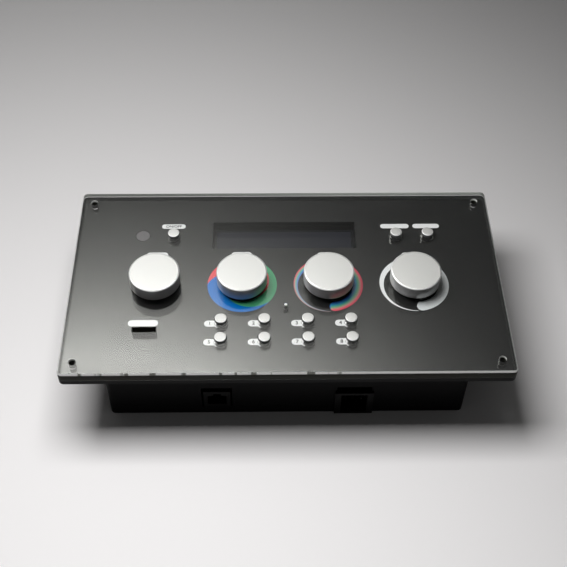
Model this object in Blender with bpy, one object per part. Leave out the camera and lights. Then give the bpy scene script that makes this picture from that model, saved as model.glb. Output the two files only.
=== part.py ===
"""Flush-mounted DMX lighting controller.

A clear cover and a black front plate carry four rotary encoders with aluminium knobs, eleven
aluminium push buttons, a display window, a memory card slot, an infrared window and a status
light. A folded steel box behind the plate holds the boards and two connectors.

Units are metres and +Z is up. The controller lies on the floor of its rear box, with its
control face up. The origin is on that floor, under the middle of the panel, and the lower
edge of the control face points to -Y.
"""

import math

import bmesh
import bpy
from mathutils import Vector

# Clearances
touch = 0.0003
key_clearance = 0.0003
window_clearance = 0.0003

# Panel: clear cover over the front plate
panel_width = 0.260
panel_length = 0.142
panel_corner_radius = 0.003
cover_thickness = 0.006
cover_chamfer = 0.0012
plate_thickness = 0.0032
fixing_hole_radius = 0.0021
fixing_inset_x = 0.008
fixing_inset_y = 0.0087
layout_shift_x = -0.0007

# Rear box, set back from the panel's edges
side_overhang = 0.023
end_overhang = 0.011
box_height = 0.0475
box_wall = 0.0015
box_corner_radius = 0.003

# Main board and the hardware that carries it
board_depth_below_plate = 0.0075
board_thickness = 0.0016
board_margin = 0.0055
post_inset_x = 0.0065
post_inset_y = 0.0065
post_across_flats = 0.0055
post_head_across_flats = 0.0080
screw_radius = 0.0015
screw_length = 0.0075
screw_head_radius = 0.00275
screw_socket_radius = 0.0009
screw_socket_depth = 0.0007
post_bore_depth = 0.0085
solder_sink = 0.0004

# Encoders and knobs
knob_pitch = 0.0521
knob_row_shift_y = -0.0034
knob_count = 4
knob_radius = 0.0151
knob_height = 0.0087
knob_lift = 0.0004
knob_top_bevel = 0.0006
knob_foot_bevel = 0.0004
knob_bore_depth = 0.0062
knob_cover_hole_radius = 0.0070
set_screw_height = 0.0030
set_screw_length = 0.0080
shaft_radius = 0.0030
shaft_foot = 0.0018
encoder_width = 0.0120
encoder_length = 0.0125
bush_radius = 0.0035
bush_length = 0.0070
nut_across_flats = 0.0100
nut_thickness = 0.0020

# Push buttons and their switches, with insets from the edges of the main board
button_radius = 0.0035
button_rise = 0.0015
button_bevel = 0.0003
button_flange_radius = 0.0047
button_flange_thickness = 0.0010
button_stem_radius = 0.0016
button_travel = 0.0007
switch_width = 0.0062
switch_height = 0.0035
switch_bore_depth = 0.0027
cue_columns = 4
cue_rows = 2
cue_pitch_x = 0.0254
cue_pitch_y = 0.0136
cue_inset_y = 0.0068
power_button_inset_x = 0.0302
run_button_inset_x = 0.0307
lock_button_inset_x = 0.0110
upper_button_inset_y = 0.0181

# Display
display_inset_y = 0.0160
display_width = 0.0896
display_length = 0.0220
display_border = 0.0018
glass_thickness = 0.0018
backlight_thickness = 0.0009
shroud_wall = 0.0018

# Card slot, infrared window and status light
card_inset_x = 0.0169
card_inset_y = 0.0133
card_slot_width = 0.0140
card_slot_length = 0.0034
card_socket_wall = 0.0010
card_width = 0.0112
card_gap = 0.0013
card_socket_length = 0.0046
card_depth = 0.0056
eye_inset_x = 0.0106
eye_inset_y = 0.0162
eye_radius = 0.0043
eye_flange = 0.0011
eye_flange_thickness = 0.0010
receiver_width = 0.0058
receiver_length = 0.0050
receiver_height = 0.0042
receiver_lens_radius = 0.0020
receiver_lens_rise = 0.0012
light_below_knobs = 0.0185
light_radius = 0.0010
light_rise = 0.0004
light_shoulder_radius = 0.0018
light_shoulder_thickness = 0.0010
light_source_size = 0.0016
light_source_height = 0.0011

# Connectors in the front wall of the rear box
cutout_top = 0.0260
network_x = -0.0420
network_width = 0.0160
network_height = 0.0150
network_depth = 0.0210
network_cutout_margin = 0.0012
network_mouth_width = 0.0114
network_mouth_height = 0.0086
network_mouth_rise = 0.0023
network_mouth_depth = 0.0140
network_latch_width = 0.0048
network_latch_height = 0.0018
contact_count = 8
contact_pitch = 0.00102
contact_width = 0.0004
contact_height = 0.0010
contact_length = 0.0070
terminal_x = 0.0400
terminal_width = 0.0230
terminal_height = 0.0214
terminal_flange = 0.0015
terminal_rise = 0.0005
terminal_body_inset = 0.0014
terminal_depth = 0.0160
terminal_mouth_width = 0.0156
terminal_mouth_height = 0.0176
terminal_mouth_depth = 0.0130
pin_columns = 3
pin_rows = 2
pin_pitch_x = 0.0050
pin_pitch_z = 0.0080
pin_size = 0.0010
pin_length = 0.0070

# Connector board
port_board_width = 0.0620
port_board_length = 0.0420
port_board_thickness = 0.0016
port_board_rise = 0.0036
boss_radius = 0.0029
port_screw_inset = 0.0045
port_screw_head_radius = 0.0026
port_screw_head_height = 0.0018
port_screw_crown_radius = 0.0018
port_screw_crown_height = 0.0006
port_screw_radius = 0.0012
port_screw_length = 0.0040

# Parts under the main board
chip_size = 0.0140
chip_height = 0.0016
driver_width = 0.0100
driver_length = 0.0075
driver_height = 0.0022
driver_count = 3
driver_pitch = 0.0180
capacitor_radius = 0.0040
capacitor_height = 0.0110
capacitor_count = 3
capacitor_pitch = 0.0120
cell_radius = 0.0100
cell_height = 0.0032
cell_clip_width = 0.0236
cell_clip_length = 0.0060
cell_clip_height = 0.0010

# Ribbon and leads between the boards
header_width = 0.0200
header_length = 0.0060
header_height = 0.0080
ribbon_width = 0.0160
ribbon_thickness = 0.0009
ribbon_bow = 0.0060
ribbon_steps = 10
lead_radius = 0.0012
lead_points = 14
power_header_width = 0.0140
power_header_length = 0.0070
power_header_height = 0.0080

# Facets
knob_segments = 40
button_segments = 16
hole_segments = 16
small_segments = 12
corner_segments = 5

# Outer sizes of the rear box, and of the main board inside it
box_width = panel_width - 2 * side_overhang
box_length = panel_length - 2 * end_overhang
board_width = box_width - 2 * box_wall - 2 * board_margin
board_length = box_length - 2 * box_wall - 2 * board_margin
board_right = board_width / 2
board_far = board_length / 2

# Levels, from the floor of the box to the top of the knobs
floor_top = box_wall
plate_rear = box_height
plate_front = plate_rear + plate_thickness
cover_rear = plate_front + touch
cover_top = cover_rear + cover_thickness
board_top = plate_rear - board_depth_below_plate
board_bottom = board_top - board_thickness
under_plate = plate_rear - touch
on_board = board_top + touch
under_board = board_bottom - touch
port_board_bottom = floor_top + port_board_rise
port_board_top = port_board_bottom + port_board_thickness
on_port_board = port_board_top + touch
knob_foot = cover_top + knob_lift
box_front = -box_length / 2

# Where things repeat
post_places = [
    (side_x * (board_right - post_inset_x), side_y * (board_far - post_inset_y))
    for side_x in (-1, 1)
    for side_y in (-1, 1)
]
fixing_places = [
    (side_x * (panel_width / 2 - fixing_inset_x), side_y * (panel_length / 2 - fixing_inset_y))
    for side_x in (-1, 1)
    for side_y in (-1, 1)
]
knob_places = [
    (layout_shift_x + (index - (knob_count - 1) / 2) * knob_pitch, knob_row_shift_y)
    for index in range(knob_count)
]
upper_button_y = board_far - upper_button_inset_y
button_places = {
    "power_button": (power_button_inset_x - board_right, upper_button_y),
    "run_button": (board_right - run_button_inset_x, upper_button_y),
    "lock_button": (board_right - lock_button_inset_x, upper_button_y),
}
for cue_row in range(cue_rows):
    for cue_column in range(cue_columns):
        cue_x = layout_shift_x + (cue_column - (cue_columns - 1) / 2) * cue_pitch_x
        cue_y = cue_inset_y - board_far + (cue_rows - 1 - cue_row) * cue_pitch_y
        cue_name = f"cue_button_{cue_row * cue_columns + cue_column + 1}"
        button_places[cue_name] = (cue_x, cue_y)
display_place = (layout_shift_x, board_far - display_inset_y)
card_place = (card_inset_x - board_right, card_inset_y - board_far)
eye_place = (eye_inset_x - board_right, board_far - eye_inset_y)
light_place = (layout_shift_x, knob_row_shift_y - light_below_knobs)
port_board_place = (network_x, box_front + box_wall + touch + port_board_length / 2)


# Outlines and rings of points

def circle(radius, level, segments, place=(0, 0)):
    """A level ring of points, anticlockwise."""
    turns = [2 * math.pi * (index + 0.5) / segments for index in range(segments)]
    x, y = place
    return [Vector((x + radius * math.cos(t), y + radius * math.sin(t), level)) for t in turns]


def polygon_ring(corners, level, segments, place=(0, 0)):
    """The outline through the corners as a level ring with a set count of points."""
    per_side = segments // len(corners)
    ring = []
    for index, corner in enumerate(corners):
        following = corners[(index + 1) % len(corners)]
        for step in range(per_side):
            share = step / per_side
            x = corner[0] + (following[0] - corner[0]) * share
            y = corner[1] + (following[1] - corner[1]) * share
            ring.append(Vector((place[0] + x, place[1] + y, level)))
    return ring


def rectangle(width, length, level, segments=4, place=(0, 0)):
    """A rectangle as a ring whose first point lies near the angle -45 degrees."""
    corners = [
        (width / 2, -length / 2),
        (width / 2, length / 2),
        (-width / 2, length / 2),
        (-width / 2, -length / 2),
    ]
    return polygon_ring(corners, level, segments, place)


def circle_in_rectangle(radius, level, segments, place=(0, 0)):
    """A circle whose points start at -45 degrees, to pair with a rectangle's ring."""
    turns = [2 * math.pi * index / segments - math.pi / 4 for index in range(segments)]
    x, y = place
    return [Vector((x + radius * math.cos(t), y + radius * math.sin(t), level)) for t in turns]


def hexagon(across_flats, level, segments, place=(0, 0)):
    """A hexagon as a ring whose first corner lies at the angle 0."""
    reach = across_flats / math.sqrt(3)
    turns = [math.pi / 3 * index for index in range(6)]
    corners = [(reach * math.cos(turn), reach * math.sin(turn)) for turn in turns]
    return polygon_ring(corners, level, segments, place)


def circle_in_hexagon(radius, level, segments, place=(0, 0)):
    """A circle whose points start at the angle 0, to pair with a hexagon's ring."""
    turns = [2 * math.pi * index / segments for index in range(segments)]
    x, y = place
    return [Vector((x + radius * math.cos(t), y + radius * math.sin(t), level)) for t in turns]


def rounded_rectangle(width, length, radius, level):
    """A rectangle with round corners as a level ring, anticlockwise."""
    ring = []
    for quarter, (side_x, side_y) in enumerate([(1, 1), (-1, 1), (-1, -1), (1, -1)]):
        centre_x = side_x * (width / 2 - radius)
        centre_y = side_y * (length / 2 - radius)
        for step in range(corner_segments + 1):
            turn = math.pi / 2 * (quarter + step / corner_segments)
            x = centre_x + radius * math.cos(turn)
            y = centre_y + radius * math.sin(turn)
            ring.append(Vector((x, y, level)))
    return ring


# Building meshes

def loft(shape, rings, closed=False):
    """Joins rings of equal count with quads; the ends are capped unless the loft is closed."""
    loops = [[shape.verts.new(point) for point in ring] for ring in rings]
    pairs = list(zip(loops, loops[1:]))
    if closed:
        pairs.append((loops[-1], loops[0]))
    for lower, upper in pairs:
        for index in range(len(lower)):
            after = (index + 1) % len(lower)
            shape.faces.new((lower[index], lower[after], upper[after], upper[index]))
    if not closed:
        shape.faces.new(tuple(reversed(loops[0])))
        shape.faces.new(tuple(loops[-1]))


def turned(shape, profile, segments, place=(0, 0), closed=False):
    """Turns a profile of (radius, level) pairs about a vertical axis."""
    rings = [circle(radius, level, segments, place) for radius, level in profile]
    loft(shape, rings, closed)


def block(shape, width, length, low, high, place=(0, 0)):
    """An upright block between two levels."""
    loft(shape, [rectangle(width, length, low, 4, place), rectangle(width, length, high, 4, place)])


def finish(name, shape, material, smooth=False):
    """Turns a shape into an object whose faces point out."""
    bmesh.ops.recalc_face_normals(shape, faces=shape.faces)
    mesh = bpy.data.meshes.new(name)
    shape.to_mesh(mesh)
    shape.free()
    if smooth:
        mesh.shade_smooth()
        mesh.set_sharp_from_angle(angle=math.radians(30))
    piece = bpy.data.objects.new(name, mesh)
    piece.data.materials.append(material)
    bpy.context.scene.collection.objects.link(piece)
    return piece


def combine(piece, name, shape, operation):
    """Cuts a shape out of a piece, or joins it on; the shape stays as a hidden guide."""
    guide = finish(name, shape, piece.data.materials[0])
    guide.parent = piece.parent
    guide.location = piece.location
    guide.rotation_euler = piece.rotation_euler
    guide.hide_render = True
    guide.display_type = 'WIRE'
    boolean = piece.modifiers.new(name, 'BOOLEAN')
    boolean.operation = operation
    boolean.solver = 'EXACT'
    boolean.object = guide


def cut(piece, name, shape):
    """Takes a shape out of a piece."""
    combine(piece, name, shape, 'DIFFERENCE')


def join(piece, name, shape):
    """Joins a shape that overlaps a piece, so that both are one body."""
    combine(piece, name, shape, 'UNION')


def axis_at(name, place, level):
    """An empty on a joint's axis, to carry what moves there."""
    empty = bpy.data.objects.new(name, None)
    empty.location = (place[0], place[1], level)
    empty.empty_display_size = knob_radius
    bpy.context.scene.collection.objects.link(empty)
    return empty


def material(name, colour, roughness, metallic=0.0, transmission=0.0):
    """A plain Principled finish."""
    made = bpy.data.materials.new(name)
    made.use_nodes = True
    shader = made.node_tree.nodes["Principled BSDF"]
    shader.inputs["Base Color"].default_value = (*colour, 1)
    shader.inputs["Roughness"].default_value = roughness
    shader.inputs["Metallic"].default_value = metallic
    shader.inputs["Transmission Weight"].default_value = transmission
    return made


# The panel

def make_clear_cover(finish_of):
    """The clear cover: a slab with a polished chamfer round its top edge."""
    shape = bmesh.new()
    inner = 2 * cover_chamfer
    inner_radius = max(panel_corner_radius - cover_chamfer, panel_corner_radius / 4)
    low = rounded_rectangle(panel_width, panel_length, panel_corner_radius, cover_rear)
    edge = rounded_rectangle(
        panel_width, panel_length, panel_corner_radius, cover_top - cover_chamfer)
    top = rounded_rectangle(
        panel_width - inner, panel_length - inner, inner_radius, cover_top)
    loft(shape, [low, edge, top])
    cover = finish("clear_cover", shape, finish_of["acrylic"])
    holes = bmesh.new()
    low, high = cover_rear - 2 * touch, cover_top + 2 * touch
    for place in fixing_places:
        turned(holes, [(fixing_hole_radius, low), (fixing_hole_radius, high)], hole_segments, place)
    for place in knob_places:
        radius = knob_cover_hole_radius
        turned(holes, [(radius, low), (radius, high)], button_segments, place)
    for place in button_places.values():
        radius = button_radius + key_clearance
        turned(holes, [(radius, low), (radius, high)], button_segments, place)
    light_hole = light_radius + window_clearance
    turned(holes, [(light_hole, low), (light_hole, high)], small_segments, light_place)
    block(holes, card_slot_width, card_slot_length, low, high, card_place)
    cut(cover, "clear_cover_holes", holes)
    return cover


def make_front_plate(finish_of):
    """The black plate behind the clear cover, with every opening of the layout.

    Its rear face is a flat border that rests on the wall, round the outline of the box.
    """
    shape = bmesh.new()
    box_outline = rounded_rectangle(
        box_width + 2 * touch, box_length + 2 * touch, box_corner_radius, plate_rear)
    low = rounded_rectangle(panel_width, panel_length, panel_corner_radius, plate_rear)
    high = rounded_rectangle(panel_width, panel_length, panel_corner_radius, plate_front)
    loft(shape, [box_outline, low, high])
    plate = finish("front_plate", shape, finish_of["plate"])
    holes = bmesh.new()
    low, high = plate_rear - 2 * touch, plate_front + 2 * touch
    for place in fixing_places:
        turned(holes, [(fixing_hole_radius, low), (fixing_hole_radius, high)], hole_segments, place)
    for place in knob_places:
        radius = bush_radius + touch
        turned(holes, [(radius, low), (radius, high)], hole_segments, place)
    for place in button_places.values():
        radius = button_radius + key_clearance
        turned(holes, [(radius, low), (radius, high)], button_segments, place)
    eye_hole = eye_radius + window_clearance
    turned(holes, [(eye_hole, low), (eye_hole, high)], hole_segments, eye_place)
    light_hole = light_radius + window_clearance
    turned(holes, [(light_hole, low), (light_hole, high)], small_segments, light_place)
    block(holes, card_slot_width, card_slot_length, low, high, card_place)
    block(holes, display_width, display_length, low, high, display_place)
    cut(plate, "front_plate_holes", holes)
    return plate


# The rear box

def make_rear_box(finish_of):
    """A folded tray, open towards the plate, with cut-outs for the connectors."""
    shape = bmesh.new()
    rim = box_height - touch
    inner_width, inner_length = box_width - 2 * box_wall, box_length - 2 * box_wall
    inner_radius = max(box_corner_radius - box_wall, box_corner_radius / 4)
    loft(shape, [
        rounded_rectangle(box_width, box_length, box_corner_radius, 0),
        rounded_rectangle(box_width, box_length, box_corner_radius, rim),
        rounded_rectangle(inner_width, inner_length, inner_radius, rim),
        rounded_rectangle(inner_width, inner_length, inner_radius, floor_top),
    ])
    box = finish("rear_box", shape, finish_of["box"])
    bosses = bmesh.new()
    boss_top = port_board_bottom - touch
    for place in port_screw_places():
        turned(bosses, [(boss_radius, box_wall / 2), (boss_radius, boss_top)], hole_segments, place)
    join(box, "rear_box_bosses", bosses)
    holes = bmesh.new()
    for place in port_screw_places():
        radius = port_screw_radius + touch
        turned(holes, [(radius, floor_top), (radius, boss_top + touch)], small_segments, place)
    wall_middle = box_front + box_wall / 2
    reach = 3 * box_wall
    network_low = on_port_board - touch
    width = network_width + 2 * network_cutout_margin
    block(holes, width, reach, network_low, cutout_top, (network_x, wall_middle))
    width = terminal_width - 2 * terminal_body_inset + 2 * touch
    terminal_low = terminal_rise + terminal_body_inset - touch
    block(holes, width, reach, max(terminal_low, floor_top), cutout_top, (terminal_x, wall_middle))
    cone = screw_head_radius + touch
    neck = screw_radius + touch
    sink = cone - neck
    for place in post_places:
        turned(holes, [
            (cone + touch, -touch),
            (cone, 0),
            (neck, sink),
            (neck, floor_top + sink),
        ], hole_segments, place)
    cut(box, "rear_box_cutouts", holes)
    return box


def make_box_screw(number, place, finish_of):
    """A countersunk screw through the floor of the box into a post."""
    shape = bmesh.new()
    taper = screw_head_radius - screw_radius
    turned(shape, [
        (screw_socket_radius, screw_socket_depth),
        (screw_socket_radius, touch / 2),
        (screw_head_radius, touch / 2),
        (screw_radius, touch / 2 + taper),
        (screw_radius, screw_length),
    ], small_segments, place)
    return finish(f"box_screw_{number}", shape, finish_of["steel"], smooth=True)


def make_panel_post(number, place, finish_of):
    """A hexagonal post from the plate through the board to the floor of the box.

    Its thick head spaces the board from the plate, and its foot is bored for a box screw.
    """
    shape = bmesh.new()
    bore = screw_radius + touch
    low = floor_top + touch
    loft(shape, [
        circle_in_hexagon(bore, low + post_bore_depth, small_segments, place),
        circle_in_hexagon(bore, low, small_segments, place),
        hexagon(post_across_flats, low, small_segments, place),
        hexagon(post_across_flats, on_board, small_segments, place),
        hexagon(post_head_across_flats, on_board, small_segments, place),
        hexagon(post_head_across_flats, under_plate, small_segments, place),
    ])
    return finish(f"panel_post_{number}", shape, finish_of["brass"])


# Main board

def make_main_board(finish_of):
    """The board that carries encoders and display, with what is soldered to it."""
    shape = bmesh.new()
    block(shape, board_width, board_length, board_bottom, board_top)
    board = finish("main_board", shape, finish_of["board"])
    above = bmesh.new()
    add_switches(above)
    block(above, light_source_size, light_source_size,
          board_top - solder_sink, board_top + light_source_height, light_place)
    join(board, "main_board_upper_parts", above)
    below = bmesh.new()
    add_chips(below)
    add_capacitors(below)
    add_header(below, header_width, header_length, header_height, ribbon_place())
    add_header(below, power_header_width, power_header_length, power_header_height,
               power_header_place())
    join(board, "main_board_lower_parts", below)
    holes = bmesh.new()
    radius = post_across_flats / math.sqrt(3) + touch
    for place in post_places:
        turned(holes, [
            (radius, board_bottom - touch),
            (radius, board_top + touch),
        ], small_segments, place)
    cut(board, "main_board_holes", holes)
    return board


def add_switches(shape):
    """The switch housings under the buttons, each bored for a stem."""
    top = board_top + switch_height
    bore = button_stem_radius + touch
    segments = small_segments
    for place in button_places.values():
        loft(shape, [
            rectangle(switch_width, switch_width, board_top - solder_sink, segments, place),
            rectangle(switch_width, switch_width, top, segments, place),
            circle_in_rectangle(bore, top, segments, place),
            circle_in_rectangle(bore, top - switch_bore_depth, segments, place),
        ])


def add_chips(shape):
    """The processor in the middle of the board's underside, and the line drivers beside it."""
    level = board_bottom + solder_sink
    block(shape, chip_size, chip_size, board_bottom - chip_height, level)
    for index in range(driver_count):
        x = chip_size / 2 + driver_pitch * (index + 1) - driver_width / 2
        block(shape, driver_width, driver_length, board_bottom - driver_height, level, (x, 0))


def add_capacitors(shape):
    """The row of capacitors near the rear edge of the board's underside."""
    y = board_far - post_inset_y - 2 * capacitor_radius
    low = board_bottom - capacitor_height
    for index in range(capacitor_count):
        x = terminal_x + (index - (capacitor_count - 1) / 2) * capacitor_pitch
        turned(shape, [
            (capacitor_radius - touch, low),
            (capacitor_radius, low + touch),
            (capacitor_radius, board_bottom + solder_sink),
        ], small_segments, (x, y))


def add_header(shape, width, length, height, place):
    """A header block under the main board."""
    block(shape, width, length, board_bottom - height, board_bottom + solder_sink, place)


def ribbon_place():
    """Where the ribbon rises, near the rear edge of the connector board."""
    x, y = port_board_place
    return (x, y + port_board_length / 2 - port_screw_inset)


def power_header_place():
    """Where the lead meets the main board, behind the terminal socket."""
    return (terminal_x, box_front + terminal_depth + power_header_length)


# Encoders and knobs

def make_encoder(number, place, finish_of):
    """An encoder's housing with its threaded bush, bored for the shaft."""
    shape = bmesh.new()
    top = under_plate
    bore = shaft_radius + touch
    bush_top = top + bush_length
    loft(shape, [
        rectangle(encoder_width, encoder_length, on_board, button_segments, place),
        rectangle(encoder_width, encoder_length, top, button_segments, place),
        circle_in_rectangle(bush_radius + touch / 2, top, button_segments, place),
        circle_in_rectangle(bush_radius, top + touch / 2, button_segments, place),
        circle_in_rectangle(bush_radius, bush_top, button_segments, place),
        circle_in_rectangle(bore, bush_top, button_segments, place),
        circle_in_rectangle(bore, on_board + shaft_foot - touch, button_segments, place),
    ])
    return finish(f"encoder_{number}", shape, finish_of["housing"])


def make_encoder_nut(number, place, finish_of):
    """The nut that clamps an encoder to the plate."""
    shape = bmesh.new()
    low = plate_front + touch
    high = low + nut_thickness
    segments = small_segments
    loft(shape, [
        hexagon(nut_across_flats, low, segments, place),
        hexagon(nut_across_flats, high, segments, place),
        circle_in_hexagon(bush_radius + touch, high, segments, place),
        circle_in_hexagon(bush_radius + touch, low, segments, place),
    ], closed=True)
    return finish(f"encoder_nut_{number}", shape, finish_of["steel"])


def make_encoder_shaft(number, axis, finish_of):
    """The shaft that turns in the bush and carries the knob."""
    shape = bmesh.new()
    foot = on_board + shaft_foot - knob_foot
    top = knob_bore_depth - touch
    turned(shape, [
        (shaft_radius, foot),
        (shaft_radius, top - touch),
        (shaft_radius - touch, top),
    ], button_segments)
    shaft = finish(f"encoder_shaft_{number}", shape, finish_of["steel"], smooth=True)
    shaft.parent = axis
    return shaft


def make_knob(number, axis, finish_of):
    """A solid turned knob, bored from below, with a cross hole for its set screw."""
    shape = bmesh.new()
    bore = shaft_radius + touch
    turned(shape, [
        (bore, knob_bore_depth),
        (bore, 0),
        (knob_radius - knob_foot_bevel, 0),
        (knob_radius, knob_foot_bevel),
        (knob_radius, knob_height - knob_top_bevel),
        (knob_radius - knob_top_bevel, knob_height),
    ], knob_segments)
    knob = finish(f"knob_{number}", shape, finish_of["knob"], smooth=True)
    knob.parent = axis
    hole = bmesh.new()
    radius = screw_radius + touch
    rings = [
        [Vector((p.x, distance, set_screw_height + p.y)) for p in circle(radius, 0, small_segments)]
        for distance in (bore / 2, knob_radius + touch)
    ]
    loft(hole, rings)
    cut(knob, f"knob_{number}_cross_hole", hole)
    return knob


def make_set_screw(number, axis, finish_of):
    """The grub screw that holds the knob to its shaft."""
    shape = bmesh.new()
    near = shaft_radius + touch
    far = near + set_screw_length
    steps = [
        (screw_radius, near),
        (screw_radius, far),
        (screw_socket_radius, far),
        (screw_socket_radius, far - screw_socket_depth),
    ]
    rings = [
        [Vector((p.x, distance, set_screw_height + p.y)) for p in circle(radius, 0, small_segments)]
        for radius, distance in steps
    ]
    loft(shape, rings)
    screw = finish(f"knob_screw_{number}", shape, finish_of["steel"])
    screw.parent = axis
    return screw


# Push buttons

def make_button(name, place, finish_of):
    """An aluminium button: stem, retaining flange and the head that the finger presses."""
    axis = axis_at(f"{name}_slide", place, cover_top)
    shape = bmesh.new()
    flange_top = under_plate - cover_top
    flange_low = flange_top - button_flange_thickness
    stem_low = board_top + switch_height - switch_bore_depth + button_travel + touch - cover_top
    turned(shape, [
        (button_stem_radius, stem_low),
        (button_stem_radius, flange_low),
        (button_flange_radius, flange_low),
        (button_flange_radius, flange_top),
        (button_radius, flange_top),
        (button_radius, button_rise - button_bevel),
        (button_radius - button_bevel, button_rise),
    ], button_segments)
    button = finish(name, shape, finish_of["button"], smooth=True)
    button.parent = axis
    return button


# Display

def make_display_shroud(finish_of):
    """The black frame that holds the display glass and walls the window to the plate."""
    shape = bmesh.new()
    pocket_width = display_width + 2 * display_border + 2 * touch
    pocket_length = display_length + 2 * display_border + 2 * touch
    ledge = display_glass_top() + touch
    width = pocket_width + 2 * shroud_wall
    length = pocket_length + 2 * shroud_wall
    loft(shape, [
        rectangle(width, length, on_board, 4, display_place),
        rectangle(width, length, under_plate, 4, display_place),
        rectangle(display_width, display_length, under_plate, 4, display_place),
        rectangle(display_width, display_length, ledge, 4, display_place),
        rectangle(pocket_width, pocket_length, ledge, 4, display_place),
        rectangle(pocket_width, pocket_length, on_board, 4, display_place),
    ], closed=True)
    return finish("display_shroud", shape, finish_of["dark_plastic"])


def display_glass_top():
    """The level of the display glass's upper face."""
    return on_board + backlight_thickness + touch + glass_thickness


def make_display_glass(finish_of):
    """The display glass in the pocket of the shroud."""
    shape = bmesh.new()
    width = display_width + 2 * display_border
    length = display_length + 2 * display_border
    top = display_glass_top()
    block(shape, width, length, top - glass_thickness, top, display_place)
    return finish("display_glass", shape, finish_of["display"])


def make_display_backlight(finish_of):
    """The backlight under the display glass."""
    shape = bmesh.new()
    width = display_width + 2 * display_border
    length = display_length + 2 * display_border
    block(shape, width, length, on_board, on_board + backlight_thickness, display_place)
    return finish("display_backlight", shape, finish_of["pale_plastic"])


# Card socket, infrared window and status light

def make_card_socket(finish_of):
    """The upright card socket behind the slot, open upwards."""
    shape = bmesh.new()
    width = card_width + 2 * touch + 2 * card_socket_wall
    top = under_plate
    loft(shape, [
        rectangle(width, card_socket_length, on_board, 4, card_place),
        rectangle(width, card_socket_length, top, 4, card_place),
        rectangle(card_width + 2 * touch, card_gap, top, 4, card_place),
        rectangle(card_width + 2 * touch, card_gap, top - card_depth, 4, card_place),
    ])
    return finish("card_socket", shape, finish_of["steel"])


def make_infrared_window(finish_of):
    """The dark window plug in the plate, with a flange behind it."""
    shape = bmesh.new()
    flange_radius = eye_radius + eye_flange
    turned(shape, [
        (flange_radius, under_plate - eye_flange_thickness),
        (flange_radius, under_plate),
        (eye_radius, under_plate),
        (eye_radius, plate_front),
    ], hole_segments, eye_place)
    return finish("infrared_window", shape, finish_of["filter"], smooth=True)


def make_infrared_receiver(finish_of):
    """The receiver under the infrared window, with its round lens."""
    shape = bmesh.new()
    top = on_board + receiver_height
    segments = small_segments
    loft(shape, [
        rectangle(receiver_width, receiver_length, on_board, segments, eye_place),
        rectangle(receiver_width, receiver_length, top, segments, eye_place),
        circle_in_rectangle(receiver_lens_radius, top, segments, eye_place),
        circle_in_rectangle(receiver_lens_radius / 2, top + receiver_lens_rise, segments, eye_place),
    ])
    return finish("infrared_receiver", shape, finish_of["dark_plastic"])


def make_light_pipe(finish_of):
    """The light pipe from the status light up through plate and cover."""
    shape = bmesh.new()
    top = cover_top + light_rise
    turned(shape, [
        (light_radius, board_top + light_source_height + touch),
        (light_radius, under_plate - light_shoulder_thickness),
        (light_shoulder_radius, under_plate - light_shoulder_thickness),
        (light_shoulder_radius, under_plate),
        (light_radius, under_plate),
        (light_radius, top - touch / 2),
        (light_radius - touch / 2, top),
    ], small_segments, light_place)
    return finish("status_light_pipe", shape, finish_of["pale_plastic"], smooth=True)


# Connectors. Each is built standing on its back, with its mouth up, then laid on its side,
# so its own +Z points out of the front wall and its own +Y points up.

def lay_forward(piece, x, mouth_y, level):
    """Lays a connector on its side, with its mouth to -Y at the given place."""
    piece.rotation_euler = (math.pi / 2, 0, 0)
    piece.location = (x, mouth_y, level)


def make_network_socket(finish_of):
    """The network socket: a shielded block with a mouth and a latch groove."""
    shape = bmesh.new()
    block(shape, network_width, network_height, -network_depth, 0)
    socket = finish("network_socket", shape, finish_of["housing"])
    lay_forward(socket, network_x, box_front, on_port_board + network_height / 2)
    mouth = bmesh.new()
    low = -network_height / 2 + network_mouth_rise
    high = low + network_mouth_height
    latch_top = high + network_latch_height
    half, latch = network_mouth_width / 2, network_latch_width / 2
    outline = [
        (-half, low), (half, low), (half, high), (latch, high),
        (latch, latch_top), (-latch, latch_top), (-latch, high), (-half, high),
    ]
    loft(mouth, [
        [Vector((x, y, -network_mouth_depth)) for x, y in outline],
        [Vector((x, y, touch)) for x, y in outline],
    ])
    cut(socket, "network_socket_mouth", mouth)
    contacts = bmesh.new()
    middle = low + contact_height / 2 - solder_sink
    start = -network_mouth_depth - solder_sink
    for index in range(contact_count):
        x = (index - (contact_count - 1) / 2) * contact_pitch
        block(contacts, contact_width, contact_height, start, start + contact_length, (x, middle))
    join(socket, "network_socket_contacts", contacts)
    return socket


def make_terminal_socket(finish_of):
    """The square power and signal socket, with a flange in front of the box wall."""
    shape = bmesh.new()
    body_width = terminal_width - 2 * terminal_body_inset
    body_height = terminal_height - 2 * terminal_body_inset
    back = -terminal_flange
    mouth_floor = -terminal_mouth_depth
    loft(shape, [
        rectangle(body_width, body_height, -terminal_depth),
        rectangle(body_width, body_height, back),
        rectangle(terminal_width, terminal_height, back),
        rectangle(terminal_width, terminal_height, 0),
        rectangle(terminal_mouth_width, terminal_mouth_height, 0),
        rectangle(terminal_mouth_width, terminal_mouth_height, mouth_floor),
    ])
    socket = finish("terminal_socket", shape, finish_of["dark_plastic"])
    mouth_y = box_front - touch - terminal_flange
    lay_forward(socket, terminal_x, mouth_y, terminal_rise + terminal_height / 2)
    pins = bmesh.new()
    low = mouth_floor - solder_sink
    for row in range(pin_rows):
        for column in range(pin_columns):
            x = (column - (pin_columns - 1) / 2) * pin_pitch_x
            y = (row - (pin_rows - 1) / 2) * pin_pitch_z
            block(pins, pin_size, pin_size, low, low + pin_length, (x, y))
    join(socket, "terminal_socket_pins", pins)
    return socket


# Connector board

def port_screw_places():
    """Where the connector board is screwed to the bosses: its two rear corners."""
    x, y = port_board_place
    reach_x = port_board_width / 2 - port_screw_inset
    reach_y = port_board_length / 2 - port_screw_inset
    return [(x + side_x * reach_x, y + reach_y) for side_x in (-1, 1)]


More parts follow.
